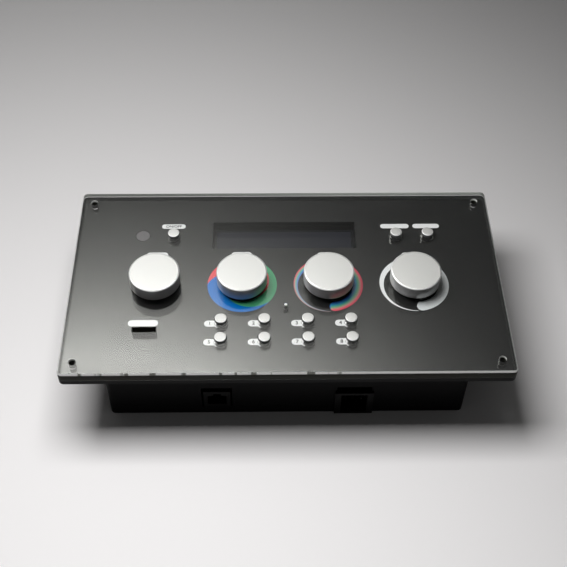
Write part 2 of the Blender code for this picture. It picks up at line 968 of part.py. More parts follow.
def make_port_board(finish_of):
    """The small board on the floor of the box, with the header for the ribbon."""
    shape = bmesh.new()
    block(shape, port_board_width, port_board_length,
          port_board_bottom, port_board_top, port_board_place)
    board = finish("port_board", shape, finish_of["board"])
    header = bmesh.new()
    block(header, header_width, header_length,
          port_board_top - solder_sink, port_board_top + header_height, ribbon_place())
    join(board, "port_board_header", header)
    holes = bmesh.new()
    radius = port_screw_radius + touch
    for place in port_screw_places():
        turned(holes, [
            (radius, port_board_bottom - touch),
            (radius, port_board_top + touch),
        ], small_segments, place)
    cut(board, "port_board_holes", holes)
    return board


def make_port_screw(number, place, finish_of):
    """A pan-head screw that holds the connector board to a boss."""
    shape = bmesh.new()
    shoulder = on_port_board
    crown = shoulder + port_screw_head_height
    crown_foot = crown - port_screw_crown_height
    turned(shape, [
        (port_screw_radius, shoulder - port_screw_length),
        (port_screw_radius, shoulder),
        (port_screw_head_radius, shoulder),
        (port_screw_head_radius, crown_foot),
        (port_screw_crown_radius, crown),
    ], small_segments, place)
    return finish(f"port_screw_{number}", shape, finish_of["steel"], smooth=True)


# Parts under the main board

def cell_place():
    """Where the clock's coin cell sits, on the left of the board's underside."""
    return (-board_width / 4, board_length / 4)


def make_coin_cell(finish_of):
    """The coin cell that keeps the clock running."""
    shape = bmesh.new()
    turned(shape, [
        (cell_radius - touch, under_board - cell_height),
        (cell_radius, under_board - cell_height + touch),
        (cell_radius, under_board),
    ], hole_segments, cell_place())
    return finish("coin_cell", shape, finish_of["steel"], smooth=True)


def make_cell_clip(finish_of):
    """The clip strap across the coin cell, with a foot on the board at each end."""
    shape = bmesh.new()
    x, y = cell_place()
    strap_top = under_board - cell_height - touch
    strap_low = strap_top - cell_clip_height
    half = cell_clip_width / 2
    inner = half - cell_clip_height
    outline = [
        (-half, strap_low), (half, strap_low), (half, under_board), (inner, under_board),
        (inner, strap_top), (-inner, strap_top), (-inner, under_board), (-half, under_board),
    ]
    loft(shape, [
        [Vector((x + px, y + cell_clip_length / 2, pz)) for px, pz in outline],
        [Vector((x + px, y - cell_clip_length / 2, pz)) for px, pz in outline],
    ])
    return finish("cell_clip", shape, finish_of["steel"])


# Wiring between the boards

def make_ribbon(finish_of):
    """The flat ribbon that bows backwards from one header to the other."""
    shape = bmesh.new()
    x, y = ribbon_place()
    low = port_board_top + header_height + touch
    high = board_bottom - header_height - touch
    rings = []
    for step in range(ribbon_steps + 1):
        share = step / ribbon_steps
        bow = ribbon_bow * math.sin(math.pi * share) ** 2
        level = low + (high - low) * share
        rings.append(rectangle(ribbon_width, ribbon_thickness, level, 4, (x, y + bow)))
    loft(shape, rings)
    return finish("board_ribbon", shape, finish_of["ribbon"])


def make_power_lead(finish_of):
    """The jacketed lead from the back of the terminal socket up to the power header."""
    path = bpy.data.curves.new("power_lead", 'CURVE')
    path.dimensions = '3D'
    path.bevel_depth = lead_radius
    path.bevel_resolution = 2
    path.use_fill_caps = True
    run = path.splines.new('POLY')
    run.points.add(lead_points - 1)
    for index, spot in enumerate(lead_route()):
        run.points[index].co = (*spot, 1)
    lead = bpy.data.objects.new("power_lead", path)
    path.materials.append(finish_of["ribbon"])
    bpy.context.scene.collection.objects.link(lead)
    return lead


def lead_route():
    """The lead's points: one smooth quarter bend from the socket's back up to the header."""
    header_x, header_y = power_header_place()
    back = box_front - terminal_flange + terminal_depth
    start = Vector((header_x, back, terminal_rise + terminal_height / 2))
    end = Vector((header_x, header_y, board_bottom - power_header_height - touch))
    first_pull = Vector((header_x, header_y, start.z))
    last_pull = Vector((header_x, header_y, (start.z + end.z) / 2))
    route = []
    for index in range(lead_points):
        share = index / (lead_points - 1)
        rest = 1 - share
        route.append(rest ** 3 * start + 3 * rest ** 2 * share * first_pull
                     + 3 * rest * share ** 2 * last_pull + share ** 3 * end)
    return route


def make_finishes():
    """Every finish by a plain name."""
    return {
        "acrylic": material("clear_acrylic", (0.92, 0.94, 0.94), 0.03, transmission=1.0),
        "plate": material("black_plate", (0.012, 0.013, 0.013), 0.35),
        "box": material("black_steel_box", (0.015, 0.015, 0.016), 0.5),
        "knob": material("satin_aluminium_knob", (0.86, 0.87, 0.88), 0.28, metallic=1.0),
        "button": material("satin_aluminium_button", (0.86, 0.87, 0.88), 0.3, metallic=1.0),
        "steel": material("plated_steel", (0.55, 0.56, 0.58), 0.3, metallic=1.0),
        "brass": material("nickel_brass", (0.70, 0.64, 0.42), 0.35, metallic=1.0),
        "board": material("green_board", (0.02, 0.12, 0.06), 0.45),
        "housing": material("die_cast_housing", (0.35, 0.36, 0.38), 0.4, metallic=1.0),
        "dark_plastic": material("black_plastic", (0.012, 0.012, 0.013), 0.5),
        "pale_plastic": material("pale_plastic", (0.85, 0.86, 0.88), 0.35),
        "display": material("display_glass", (0.045, 0.05, 0.065), 0.12),
        "filter": material("infrared_filter", (0.05, 0.045, 0.055), 0.2),
        "ribbon": material("grey_insulation", (0.35, 0.36, 0.38), 0.6),
    }


def build():
    """Clears the scene and builds every piece."""
    for stale in list(bpy.data.objects):
        bpy.data.objects.remove(stale, do_unlink=True)
    finish_of = make_finishes()
    make_clear_cover(finish_of)
    make_front_plate(finish_of)
    make_rear_box(finish_of)
    make_main_board(finish_of)
    for number, place in enumerate(post_places, 1):
        make_panel_post(number, place, finish_of)
        make_box_screw(number, place, finish_of)
    for number, place in enumerate(knob_places, 1):
        axis = axis_at(f"knob_{number}_axis", place, knob_foot)
        make_encoder(number, place, finish_of)
        make_encoder_nut(number, place, finish_of)
        make_encoder_shaft(number, axis, finish_of)
        make_knob(number, axis, finish_of)
        make_set_screw(number, axis, finish_of)
    for name, place in button_places.items():
        make_button(name, place, finish_of)
    make_display_shroud(finish_of)
    make_display_glass(finish_of)
    make_display_backlight(finish_of)
    make_card_socket(finish_of)
    make_infrared_window(finish_of)
    make_infrared_receiver(finish_of)
    make_light_pipe(finish_of)
    make_network_socket(finish_of)
    make_terminal_socket(finish_of)
    make_port_board(finish_of)
    for number, place in enumerate(port_screw_places(), 1):
        make_port_screw(number, place, finish_of)
    make_coin_cell(finish_of)
    make_cell_clip(finish_of)
    make_ribbon(finish_of)
    make_power_lead(finish_of)


build()
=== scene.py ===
# %% [markdown]
# A lighting controller, piece by piece
#
# The object is a desk panel for stage lights: a clear acrylic cover on a black plate, four turned
# aluminium knobs, eleven small push buttons, a sunken display, and a black steel box behind it.
# The solids come from the packed model and stay where they are. This lesson adds finer pieces and
# finishes.

# %% The packed model
import math

import bmesh
import bpy
import numpy as np
from mathutils import Matrix, Vector
from mathutils.geometry import tessellate_polygon


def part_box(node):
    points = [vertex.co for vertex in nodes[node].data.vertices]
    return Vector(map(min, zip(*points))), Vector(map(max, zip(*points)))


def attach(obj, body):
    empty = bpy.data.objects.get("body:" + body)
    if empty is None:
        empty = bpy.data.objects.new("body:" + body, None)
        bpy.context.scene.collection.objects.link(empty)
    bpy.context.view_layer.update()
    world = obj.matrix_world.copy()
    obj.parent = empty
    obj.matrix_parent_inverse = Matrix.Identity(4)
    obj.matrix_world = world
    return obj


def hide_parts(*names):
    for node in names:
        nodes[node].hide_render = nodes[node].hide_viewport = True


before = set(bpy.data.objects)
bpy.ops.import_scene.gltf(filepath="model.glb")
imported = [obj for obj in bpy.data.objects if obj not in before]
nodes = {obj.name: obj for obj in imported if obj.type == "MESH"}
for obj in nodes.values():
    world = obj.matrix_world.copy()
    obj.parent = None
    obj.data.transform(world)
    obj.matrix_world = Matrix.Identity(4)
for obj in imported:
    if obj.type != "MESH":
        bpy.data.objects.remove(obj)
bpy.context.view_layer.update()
millimetre = 0.001
print("solids in the packed model:", len(nodes))

# %% [markdown]
# The camera
#
# The photograph looks down on the panel at fifty degrees with a 65 mm lens. A camera could be aimed
# by a constraint, but then its small lean would be lost, so its three axes are worked out from the
# angles and put into its matrix. It comes first because everything later is judged through it.

# %% Camera
focal_length = 65.0
film_width = 36.0
camera_place = (-0.01186, -0.39793, 0.5308)
looking_down, turned_right, leaning = np.radians([50.3725, 1.4688, 0.7877])


def camera_matrix():
    """Axes of the camera: forward is the horizon direction turned right and tilted down, and
    right and up are turned round it by the lean."""
    level_right = np.array([math.cos(turned_right), -math.sin(turned_right), 0])
    ahead = np.array([math.sin(turned_right), math.cos(turned_right), 0])
    forward = ahead * math.cos(looking_down) - np.array([0, 0, math.sin(looking_down)])
    level_up = np.cross(level_right, forward)
    right = math.cos(leaning) * level_right + math.sin(leaning) * level_up
    up = -math.sin(leaning) * level_right + math.cos(leaning) * level_up
    columns = np.eye(4)
    columns[:3] = np.column_stack([right, up, -forward, camera_place])
    return Matrix(columns.tolist())


def put(name, data):
    """Makes an object of this data and puts it into the scene."""
    thing = bpy.data.objects.new(name, data)
    scene.collection.objects.link(thing)
    return thing


scene = bpy.context.scene
lens = bpy.data.cameras.new("camera")
lens.lens = focal_length
lens.sensor_width = film_width
lens.clip_start = 0.01
camera = put("camera", lens)
camera.matrix_world = camera_matrix()
scene.camera = camera
print("camera height above the floor:", round(camera_place[2], 3))

# %% [markdown]
# Finishes as expressions
#
# A finish is a graph of small nodes, which is slow to read when each one is set by hand. The class
# below wraps a socket, so that a sum or a product in Python adds the Math node that does it. Every
# other node comes from one method, which takes the node's type, its settings and its inputs.

# %% Wires
class Wire:
    """A socket of a finish that can be added, multiplied and compared."""

    def __init__(self, finish, socket):
        self.finish = finish
        self.socket = socket

    def __add__(self, other):
        return self.finish.math("ADD", self, other)

    def __radd__(self, other):
        return self.finish.math("ADD", other, self)

    def __sub__(self, other):
        return self.finish.math("SUBTRACT", self, other)

    def __rsub__(self, other):
        return self.finish.math("SUBTRACT", other, self)

    def __mul__(self, other):
        return self.finish.math("MULTIPLY", self, other)

    def __rmul__(self, other):
        return self.finish.math("MULTIPLY", other, self)

    def __truediv__(self, other):
        return self.finish.math("DIVIDE", self, other)

    def __pow__(self, other):
        return self.finish.math("POWER", self, other)

    def __rpow__(self, other):
        return self.finish.math("POWER", other, self)

    def __abs__(self):
        return self.finish.math("ABSOLUTE", self)

    def __gt__(self, other):
        return self.finish.math("GREATER_THAN", self, other)

    def __lt__(self, other):
        return self.finish.math("LESS_THAN", self, other)


print("a wire stands for a socket, and its operators add Math nodes")


# %% Finishes
class Finish:
    """A material that is written as expressions on wires."""

    def __init__(self, name):
        self.material = bpy.data.materials.new(name)
        self.material.use_nodes = True
        self.tree = self.material.node_tree
        self.tree.nodes.clear()
        self.out = self.tree.nodes.new("ShaderNodeOutputMaterial")

    def node(self, kind, values=(), output=0, stops=None, **settings):
        """Adds a node: its settings first, a ramp's stops among them, then the values or wires
        of its sockets. A colour is given as three numbers, and its socket needs a fourth."""
        made = self.tree.nodes.new("ShaderNode" + kind)
        for setting, value in settings.items():
            setattr(made, setting, value)
        if stops:
            ramp = made.color_ramp.elements
            while len(ramp) < len(stops):
                ramp.new(0.5)
            for element, (place, colour) in zip(ramp, stops):
                element.position = place
                element.color = (*colour, 1)
        for socket, value in dict(values).items():
            if isinstance(value, Wire):
                self.tree.links.new(value.socket, made.inputs[socket])
            else:
                colour = isinstance(value, (tuple, list))
                made.inputs[socket].default_value = (*value, 1) if colour else value
        return Wire(self, made.outputs[output])

    def math(self, operation, *values):
        """A Math node with this operation on these values."""
        return self.node("Math", dict(enumerate(values)), operation=operation)

    def place(self):
        """x, y and z of the point in metres, in the frame of the whole object."""
        here = self.node("TexCoord", output="Object")
        return [self.node("SeparateXYZ", {0: here}, output=axis) for axis in range(3)]

    def facing(self):
        """x, y and z of the direction that the surface faces."""
        normal = self.node("NewGeometry", output="Normal")
        return [self.node("SeparateXYZ", {0: normal}, output=axis) for axis in range(3)]

    def noise(self, size, detail=2, at=None):
        """Smooth noise from 0 to 1 whose blobs are about `size` metres across."""
        at = at or self.node("TexCoord", output="Object")
        values = {"Vector": at, "Scale": 1 / size, "Detail": detail}
        return self.node("TexNoise", values)

    def lines(self, size, value, axis=2, detail=2):
        """Noise of one number alone. It draws lines across the way in which the number grows."""
        return self.noise(size, detail, at=self.node("CombineXYZ", {axis: value}))

    def own(self, name):
        """A number that the mesh carries at each of its points."""
        return self.node("Attribute", output="Fac", attribute_name=name)

    def blend(self, share, low, high):
        """Colour `low` where share is 0, `high` where it is 1. A Mix node has its colours in
        inputs 6 and 7, and the mixed one in output 2."""
        return self.node("Mix", {0: share, 6: low, 7: high}, output=2, data_type="RGBA")

    def step(self, value, low, high):
        """0 below `low`, 1 above `high`, smooth between."""
        values = {"Value": value, "From Min": low, "From Max": high}
        return self.node("MapRange", values, interpolation_type="SMOOTHSTEP")

    def bump(self, height, depth):
        """The normal of a surface raised by `depth` metres where height is 1."""
        return self.node("Bump", {"Height": height, "Distance": depth, "Strength": 1.0})

    def end(self, shader):
        """Ends the finish with this shader."""
        self.tree.links.new(shader.socket, self.out.inputs[0])
        return self.material

    def coat(self, colour, roughness, normal=None, **fixed):
        """Ends the finish with the layered surface shader. `fixed` values never change."""
        values = {"Base Color": colour, "Roughness": roughness}
        if normal:
            values["Normal"] = normal
        values.update({name.replace("_", " "): value for name, value in fixed.items()})
        self.shader = self.node("BsdfPrincipled", values)
        return self.end(self.shader)


print("helpers of a finish:", *(name for name in vars(Finish) if name[0] != "_"))


# %% Tones
def tone(red, green=None, blue=None):
    """A colour as a screen shows it, 0 to 255, turned into amounts of light with the two
    formulas of the usual screen standard: a straight line for dark tones, a power for others."""
    shown = np.array([red, red if green is None else green, red if blue is None else blue]) / 255
    light = np.where(shown < 0.04045, shown / 12.92, ((shown + 0.055) / 1.055) ** 2.4)
    return tuple(float(value) for value in light)


print("middle grey on a screen is this much light:", round(tone(128)[0], 3))

# %% [markdown]
# Meshes from arrays
#
# Every new piece here is a set of closed rings that are joined by faces: a knob is a profile turned
# round its axis, the cover is an outline carried up its edge. Rings are computed as whole arrays.
# Where a piece has holes, its flat faces are filled between the outer ring and the hole rings.

# %% Outlines
def circle(radius, place=(0, 0), steps=48):
    """Points at place + radius * (cos t, sin t), for t once round."""
    t = np.linspace(0, 2 * np.pi, steps, endpoint=False)
    return np.stack([place[0] + radius * np.cos(t), place[1] + radius * np.sin(t)], axis=1)


def rounded(width, length, radius, place=(0, 0), corner_steps=8):
    """A rectangle with quarter circles at its corners: corner centre + radius * (cos t, sin t)."""
    t = np.linspace(0, np.pi / 2, corner_steps)
    quarter = np.arange(4)[:, None]
    sides = np.array([[1, 1], [-1, 1], [-1, -1], [1, -1]])[:, None, :]
    reach = np.array([width / 2 - radius, length / 2 - radius])
    angles = t + quarter * np.pi / 2
    arcs = radius * np.stack([np.cos(angles), np.sin(angles)], axis=2)
    return (sides * reach + arcs + np.array(place)).reshape(-1, 2)


def lifted(outlines, levels):
    """Each flat outline at its own level: an array of rings from low to high."""
    return np.stack([np.column_stack([o, np.full(len(o), z)]) for o, z in zip(outlines, levels)])


print("a circle has", len(circle(1)), "points, a rounded outline", len(rounded(2, 1, 0.1)))

# %% Faces and pieces
weld_distance = 1e-7
crease = math.radians(32)


def between(rings, first=0, inside=False):
    """Four-sided faces between neighbouring closed rings. Those of a hole face its middle."""
    count, around = rings.shape[:2]
    low = np.arange(count - 1)[:, None] * around + np.arange(around)
    after = np.arange(count - 1)[:, None] * around + (np.arange(around) + 1) % around
    faces = np.stack([low, after, after + around, low + around], axis=2).reshape(-1, 4) + first
    return faces[:, ::-1] if inside else faces


def lid(loops, numbers, upward):
    """Triangles that fill the first loop around the holes, which are the other loops."""
    flat = [[Vector((x, y, 0)) for x, y in loop[:, :2]] for loop in loops]
    corners = np.array(tessellate_polygon(flat))
    xy = np.concatenate(loops)[:, :2]
    a, b, c = (xy[corners[:, index]] for index in range(3))
    turn = (b - a)[:, 0] * (c - a)[:, 1] - (b - a)[:, 1] * (c - a)[:, 0]
    wrong = (turn > 0) != upward
    corners[wrong] = corners[wrong][:, ::-1]
    return np.concatenate(numbers)[corners]


def piece_of(name, points, faces, material, smooth=True):
    """An object with these points and faces, its double points merged and its faces outward."""
    mesh = bpy.data.meshes.new(name)
    mesh.from_pydata(np.concatenate(points).tolist(), [], [f for part in faces for f in part.tolist()])
    work = bmesh.new()
    work.from_mesh(mesh)
    bmesh.ops.remove_doubles(work, verts=work.verts, dist=weld_distance)
    bmesh.ops.dissolve_degenerate(work, edges=work.edges, dist=weld_distance)
    bmesh.ops.recalc_face_normals(work, faces=work.faces)
    work.to_mesh(mesh)
    work.free()
    if smooth:
        mesh.shade_smooth()
        mesh.set_sharp_from_angle(angle=crease)
    mesh.materials.append(material)
    return put(name, mesh)


print("creases are sharp from", round(math.degrees(crease)), "degrees")


# %% Flat bodies with holes
def slab(name, rims, material):
    """A flat body: the first rim is its outer edge, the others are the edges of its holes."""
    points, faces, lows, highs, low_numbers, high_numbers = [], [], [], [], [], []
    first = 0
    for index, rim in enumerate(rims):
        around = rim.shape[1]
        points.append(rim.reshape(-1, 3))
        faces.append(between(rim, first, inside=index > 0))
        lows.append(rim[0])
        highs.append(rim[-1])
        low_numbers.append(first + np.arange(around))
        first += rim.shape[0] * around
        high_numbers.append(first - around + np.arange(around))
    faces.append(lid(lows, low_numbers, upward=False))
    faces.append(lid(highs, high_numbers, upward=True))
    return piece_of(name, points, faces, material)


print("a slab is filled between its first rim and the rims of its holes")

# %% [markdown]
# Floor
#
# The controller lies on a pale table top that is bright on the left and falls off to the right and
# to the back. A spotlight could make that fall-off, but it would also change the object's light. So
# the light is even and the fall-off is painted into the table's colour, as a smooth bell round its
# brightest place: a painted pool of light.

# %% Floor
floor_half = 4.0
painted_light_powers = (-0.303, -0.414, -1.530, -2.390, -1.075, -1.252)
far_tone = 0.62
far_from, far_to = 0.6, 1.1
table_grain = 0.004
grain_strength = 0.006
table_warmth = 1.02


def table_with_painted_light():
    """The tone is e to the power a + bx + cy + dx^2 + ey^2 + fxy near the controller, a painted pool
    of light, and even far away. Fine noise adds the grain of the table's coat."""
    finish = Finish("table_top")
    x, y, _ = finish.place()
    a, b, c, d, e, f = painted_light_powers
    # painted pool of light: the table's colour falls off as a bell round its brightest place
    power = a + b * x + c * y + d * (x * x) + e * (y * y) + f * (x * y)
    away = finish.step((x * x + y * y) ** 0.5, far_from, far_to)
    grain = (finish.noise(table_grain) - 0.5) * grain_strength
    level = math.e ** power * (1 - away) + far_tone * away + grain
    colour = finish.node("CombineColor", {0: level * table_warmth, 1: level, 2: level})
    return finish.coat(colour, 0.6, IOR=1.3)


def wide_sheet(name, half, level, material):
    """A flat square at one level, `half` metres from its middle to each side."""
    corners = half * np.array([[-1, -1], [1, -1], [1, 1], [-1, 1]])
    points = np.column_stack([corners, np.full(4, level)])
    mesh = bpy.data.meshes.new(name)
    mesh.from_pydata(points.tolist(), [], [(0, 1, 2, 3)])
    mesh.materials.append(material)
    return put(name, mesh)


floor = wide_sheet("floor", floor_half, 0, table_with_painted_light())
print("floor half width:", floor_half)

# %% [markdown]
# Light
#
# The shadow on the table is a little larger than the panel, so the soft box hangs close above it, to
# the left. Light from so near would be much stronger on the knobs than on the table, so its fall-off
# with distance is taken out.

# %% Soft box
box_centre = (-0.124, 0.018, 0.474)
box_size = (0.33, 0.21)
box_share = 1.05


def hang_soft_box():
    """With constant fall-off, an upward surface straight below gets power / pi^2 of its colour."""
    lamp = bpy.data.lights.new("soft_box", "AREA")
    lamp.shape = "RECTANGLE"
    lamp.size, lamp.size_y = box_size
    lamp.energy = box_share * math.pi ** 2
    lamp.use_nodes = True
    falloff = lamp.node_tree.nodes.new("ShaderNodeLightFalloff")
    falloff.inputs["Strength"].default_value = 1.0
    glow = lamp.node_tree.nodes["Emission"]
    lamp.node_tree.links.new(falloff.outputs["Constant"], glow.inputs["Strength"])
    hung = put("soft_box", lamp)
    hung.location = box_centre
    hung.visible_glossy = False
    hung.visible_transmission = False
    hung.visible_camera = False
    return lamp.energy


print("power of the soft box in watts:", round(hang_soft_box(), 1))

# %% [markdown]
# What the acrylic mirrors
#
# In the photograph a soft pale gloss lies on the panel's left, without any edge. A polished face
# would mirror the soft box as a hard rectangle. So the box is hidden from mirrored rays, and a
# separate sheet glows for them alone, as a bell with a flat top. The room is even and weak.

# %% Glowing sheet and room
sheet_half = 1.9
sheet_level = 1.2
sheet_centre = (-0.35, -0.703)
sheet_reach = (0.29, 0.514)
sheet_peak = 345.0
sheet_most = 6.0
sheet_front = (0.05, 0.45)
room_share = 0.05


def glowing_finish():
    """peak * e to the power -(u^2 + v^2) / 2, cut off at `most`, only for rays that no rough
    surface has scattered. u and v are the distances from the centre in parts of the reach."""
    finish = Finish("glowing_sheet")
    x, y, _ = finish.place()
    across = (x - sheet_centre[0]) / sheet_reach[0]
    along = (y - sheet_centre[1]) / sheet_reach[1]
    bell = sheet_peak * math.e ** ((across * across + along * along) * -0.5)
    level = finish.math("MINIMUM", bell, sheet_most) * finish.step(y, *sheet_front)
    scattered = finish.node("LightPath", output="Diffuse Depth")
    glow = finish.node("Emission", {0: (1.0, 1.0, 0.95), 1: level * (scattered < 0.5)})
    return finish.end(glow)


def light_the_room():
    """An even, weak light from all around."""
    world = bpy.data.worlds.new("room")
    scene.world = world
    world.use_nodes = True
    tree = world.node_tree
    tree.nodes["Background"].inputs[0].default_value = (1, 1, 1, 1)
    tree.nodes["Background"].inputs[1].default_value = room_share


glowing_sheet = wide_sheet("glowing_sheet", sheet_half, sheet_level, glowing_finish())
glowing_sheet.visible_camera = False
glowing_sheet.visible_diffuse = False
glowing_sheet.visible_shadow = False
light_the_room()
scene.view_settings.view_transform = "Standard"
scene.cycles.glossy_bounces = 12
scene.cycles.transmission_bounces = 16
scene.cycles.max_bounces = 20
print("width of the glowing sheet:", 2 * sheet_half)

# %% [markdown] Clear acrylic  The cover is cast acrylic with polished faces. Clear plastic is
# glass with a low index of refraction, taken a little lower than the real one, because the camera
# saw a weak mirror image.

# %% Polished acrylic
acrylic_index = 1.46
upright_below = 0.3
lying_above = 0.9
wall_lines = 0.4 * millimetre
wall_depth = 0.004 * millimetre


def acrylic_finish():
    """Cast acrylic. Its flat faces are smooth. The walls of its holes are a little yellower and
    carry fine lines, which are noise of the height."""
    finish = Finish("clear_acrylic")
    _, _, up = finish.facing()
    _, _, z = finish.place()
    wall = abs(up) < upright_below
    lines = finish.lines(wall_lines, z)
    normal = finish.bump(lines * wall, wall_depth)
    tint = finish.blend(wall, (0.98, 0.99, 0.985), (0.95, 0.95, 0.87))
    finish.coat(tint, wall * 0.02, normal, IOR=acrylic_index, Transmission_Weight=1.0)
    lamp_ray = finish.node("LightPath", output="Is Shadow Ray")
    clear = finish.node("BsdfTransparent")
    return finish.end(finish.node("MixShader", {0: lamp_ray, 1: finish.shader, 2: clear}))


polished_acrylic = acrylic_finish()
print("index of refraction:", acrylic_index)

# %% [markdown]
# Edges, painted highlights and painted shade
#
# Some faces of the acrylic aren't left clear. The outer edge is dull and dark, and the same dark
# finish is painted shade on the back wall of the card's slot and low in the screw holes. The chamfer
# is white, a painted highlight for the line of light along the edge, and the upper back wall of each
# screw hole is white too, a painted highlight. Rough glass could show this, but it renders slowly and
# full of specks. So each such face gets an opaque finish, and only the dark one lets light through,
# for whoever looks at it from inside.

# %% Dark edge, painted highlights and painted shade on acrylic
saw_lines = 0.5 * millimetre
saw_depth = 0.02 * millimetre
drill_lines = 0.3 * millimetre
highlight_gap_size = 8.0 * millimetre
front_edge = (0.067, 0.069)
front_end = (0.02, 0.05)
painted_gap_stretch = (0.54, 0.58)
painted_brightening_span = (-0.12, 0.10)


def dark_edge_and_painted_shade():
    """Dull and dark from outside: the outer edge, and painted shade on the back wall of the card's
    slot and low in the screw holes. Seen from inside through the polished face it lets the light of
    the table through, more towards the right, a painted brightening. The saw left lines along it:
    noise of the height."""
    finish = Finish("dark_edge_and_shade_acrylic")
    x, _, z = finish.place()
    saw = finish.lines(saw_lines, z)
    # dark colour: the outer edge's own, and painted shade where it lines the card's slot and the screw
    # holes
    colour = finish.blend(saw, tone(34, 34, 29), tone(50, 50, 45))
    finish.coat(colour, saw * 0.1 + 0.45, finish.bump(saw, saw_depth), Specular_IOR_Level=0.08)
    inside = finish.node("NewGeometry", output="Backfacing")
    # the share of light let through grows towards the right: a painted brightening of the edge seen
    # from inside
    passing = finish.step(x, *painted_brightening_span) * 0.5 + 0.45
    lit_through = finish.node("BsdfTranslucent", {0: tone(205, 210, 205)})
    share = inside * passing
    return finish.end(finish.node("MixShader", {0: share, 1: finish.shader, 2: lit_through}))


def painted_highlight_chamfer():
    """White, a painted highlight for the line of light along the edge. Short stretches of the front
    edge are dark, painted breaks in that line, where noise of the place along it is high."""
    finish = Finish("painted_highlight_chamfer")
    x, y, _ = finish.place()
    stretch = finish.lines(highlight_gap_size, x, axis=0, detail=4)
    front = finish.step(0 - y, *front_edge) * (1 - finish.step(x, *front_end))
    clear = finish.step(stretch, *painted_gap_stretch) * front
    # white is a painted highlight of the edge; the dark stretches are painted breaks in it
    colour = finish.blend(clear, (0.98, 0.98, 0.96), (0.20, 0.20, 0.18))
    return finish.coat(colour, stretch * 0.1 + 0.35, Specular_IOR_Level=0.3)


def painted_highlight_wall():
    """White and dull, a painted highlight on the upper back wall of each screw hole; noise along the
    height gives the marks of the drill.
    """
    finish = Finish("painted_highlight_acrylic")
    _, _, z = finish.place()
    mark = finish.lines(drill_lines, z)
    # white: a painted highlight on the back half of the hole's wall
    colour = finish.blend(mark, tone(236, 236, 233), tone(250, 250, 247))
    return finish.coat(colour, mark * 0.1 + 0.45, Specular_IOR_Level=0.3)


# the dark edge finish, which is also painted shade, and two painted highlights
edge_and_painted_light_finishes = [dark_edge_and_painted_shade(), painted_highlight_chamfer(), painted_highlight_wall()]
print("finishes of cut faces:", *(finish.name for finish in edge_and_painted_light_finishes))

# %% [markdown]
# The cover
#
# A slab six millimetres thick with a chamfer round its top edge and holes for the knobs, buttons,
# screws, card and status light. Cutting the holes with a modifier would leave rough corners, so each
# hole is a ring of its own, with a hair of an edge break, and the faces are filled between them.
# The edge finishes, painted highlights and painted shade are then given out face by face, by where a
# face lies and which way it looks.

# %% Bodies and places
def carry(piece, body, slot, *replaced):
    """Says which body the piece moves with and hides the packed solids it stands for. The slot is not
    used.
    """
    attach(piece, body)
    if replaced:
        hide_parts(*replaced)


def middle(node):
    """x and y of the middle of a packed solid."""
    low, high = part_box(node)
    return (low.x + high.x) / 2, (low.y + high.y) / 2


print("the first knob stands at", *(round(value, 4) for value in middle("knob_1")))

# %% Measures of the panel
cover_low, cover_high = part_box("clear_cover")
panel_width = cover_high.x - cover_low.x
panel_length = cover_high.y - cover_low.y
panel_corner = 3.0 * millimetre
chamfer = 1.2 * millimetre
chamfer_run = 0.7 * millimetre
edge_break = 0.15 * millimetre
fine_break = 0.04 * millimetre
fixing_radius = 2.1 * millimetre
hole_reach = 1.2
screw_chamfer = 0.10 * millimetre
bright_depth = 1.4 * millimetre
fixing_x = 122.0 * millimetre
fixing_y = 62.3 * millimetre
fixing_places = [(x * fixing_x, y * fixing_y) for x in (-1, 1) for y in (-1, 1)]
knob_names = [f"knob_{number}" for number in range(1, 5)]
knob_places = [middle(name) for name in knob_names]
cue_names = [f"cue_button_{number}" for number in range(1, 9)]
button_names = ["power_button", "run_button", "lock_button", *cue_names]
button_places = {name: middle(name) for name in button_names}
button_hole = 3.8 * millimetre
knob_hole = 7.0 * millimetre
light_place = middle("status_light_pipe")
light_hole = 1.3 * millimetre
card_place = middle("card_socket")
card_slot = (14.0 * millimetre, 3.4 * millimetre)
slot_corner = 0.3 * millimetre
print("panel in millimetres:", round(panel_width * 1000, 1), "by", round(panel_length * 1000, 1))


# %% Edges of the panel and its holes
def round_rim(radius, place, low, high, steps=64):
    """Edge of a round hole with both its corners broken."""
    radii = [radius + edge_break, radius, radius, radius + edge_break]
    levels = [low, low + edge_break, high - edge_break, high]
    return lifted([circle(r, place, steps) for r in radii], levels)


def slot_rim(size, place, low, high):
    """Edge of a long hole with both its corners broken."""
    grown = [edge_break, 0, 0, edge_break]
    levels = [low, low + edge_break, high - edge_break, high]
    outlines = [rounded(size[0] + 2 * g, size[1] + 2 * g, slot_corner + g, place) for g in grown]
    return lifted(outlines, levels)


def panel_rim(insets, levels):
    """The panel's outline, drawn in by each inset at its level."""
    outlines = [
        rounded(panel_width - 2 * inset, panel_length - 2 * inset, panel_corner - inset)
        for inset in insets
    ]
    return lifted(outlines, levels)


def drilled_rim(place, low, high):
    """Edge of a screw hole: its upper wall, which carries a painted highlight, is a ring of its own.
    """
    radii = np.array([fine_break, 0, 0, 0, screw_chamfer]) + fixing_radius
    levels = [low, low + fine_break, high - bright_depth, high - screw_chamfer, high]
    return lifted([circle(r, place) for r in radii], levels)


def shared_rims(low, high, at_knobs):
    """The holes that go through cover and plate alike."""
    rims = [drilled_rim(place, low, high) for place in fixing_places]
    rims += [round_rim(at_knobs, place, low, high) for place in knob_places]
    rims += [round_rim(button_hole, place, low, high) for place in button_places.values()]
    rims.append(round_rim(light_hole, light_place, low, high, 24))
    rims.append(slot_rim(card_slot, card_place, low, high))
    return rims


print("holes through cover and plate:", len(shared_rims(0, 1, knob_hole)))


# %% Which face gets which finish
def numbers_of(parts, what):
    """x, y and z of something at each point or face of a mesh, as one row each."""
    rows = np.empty(len(parts) * 3)
    parts.foreach_get(what, rows)
    return rows.reshape(-1, 3)


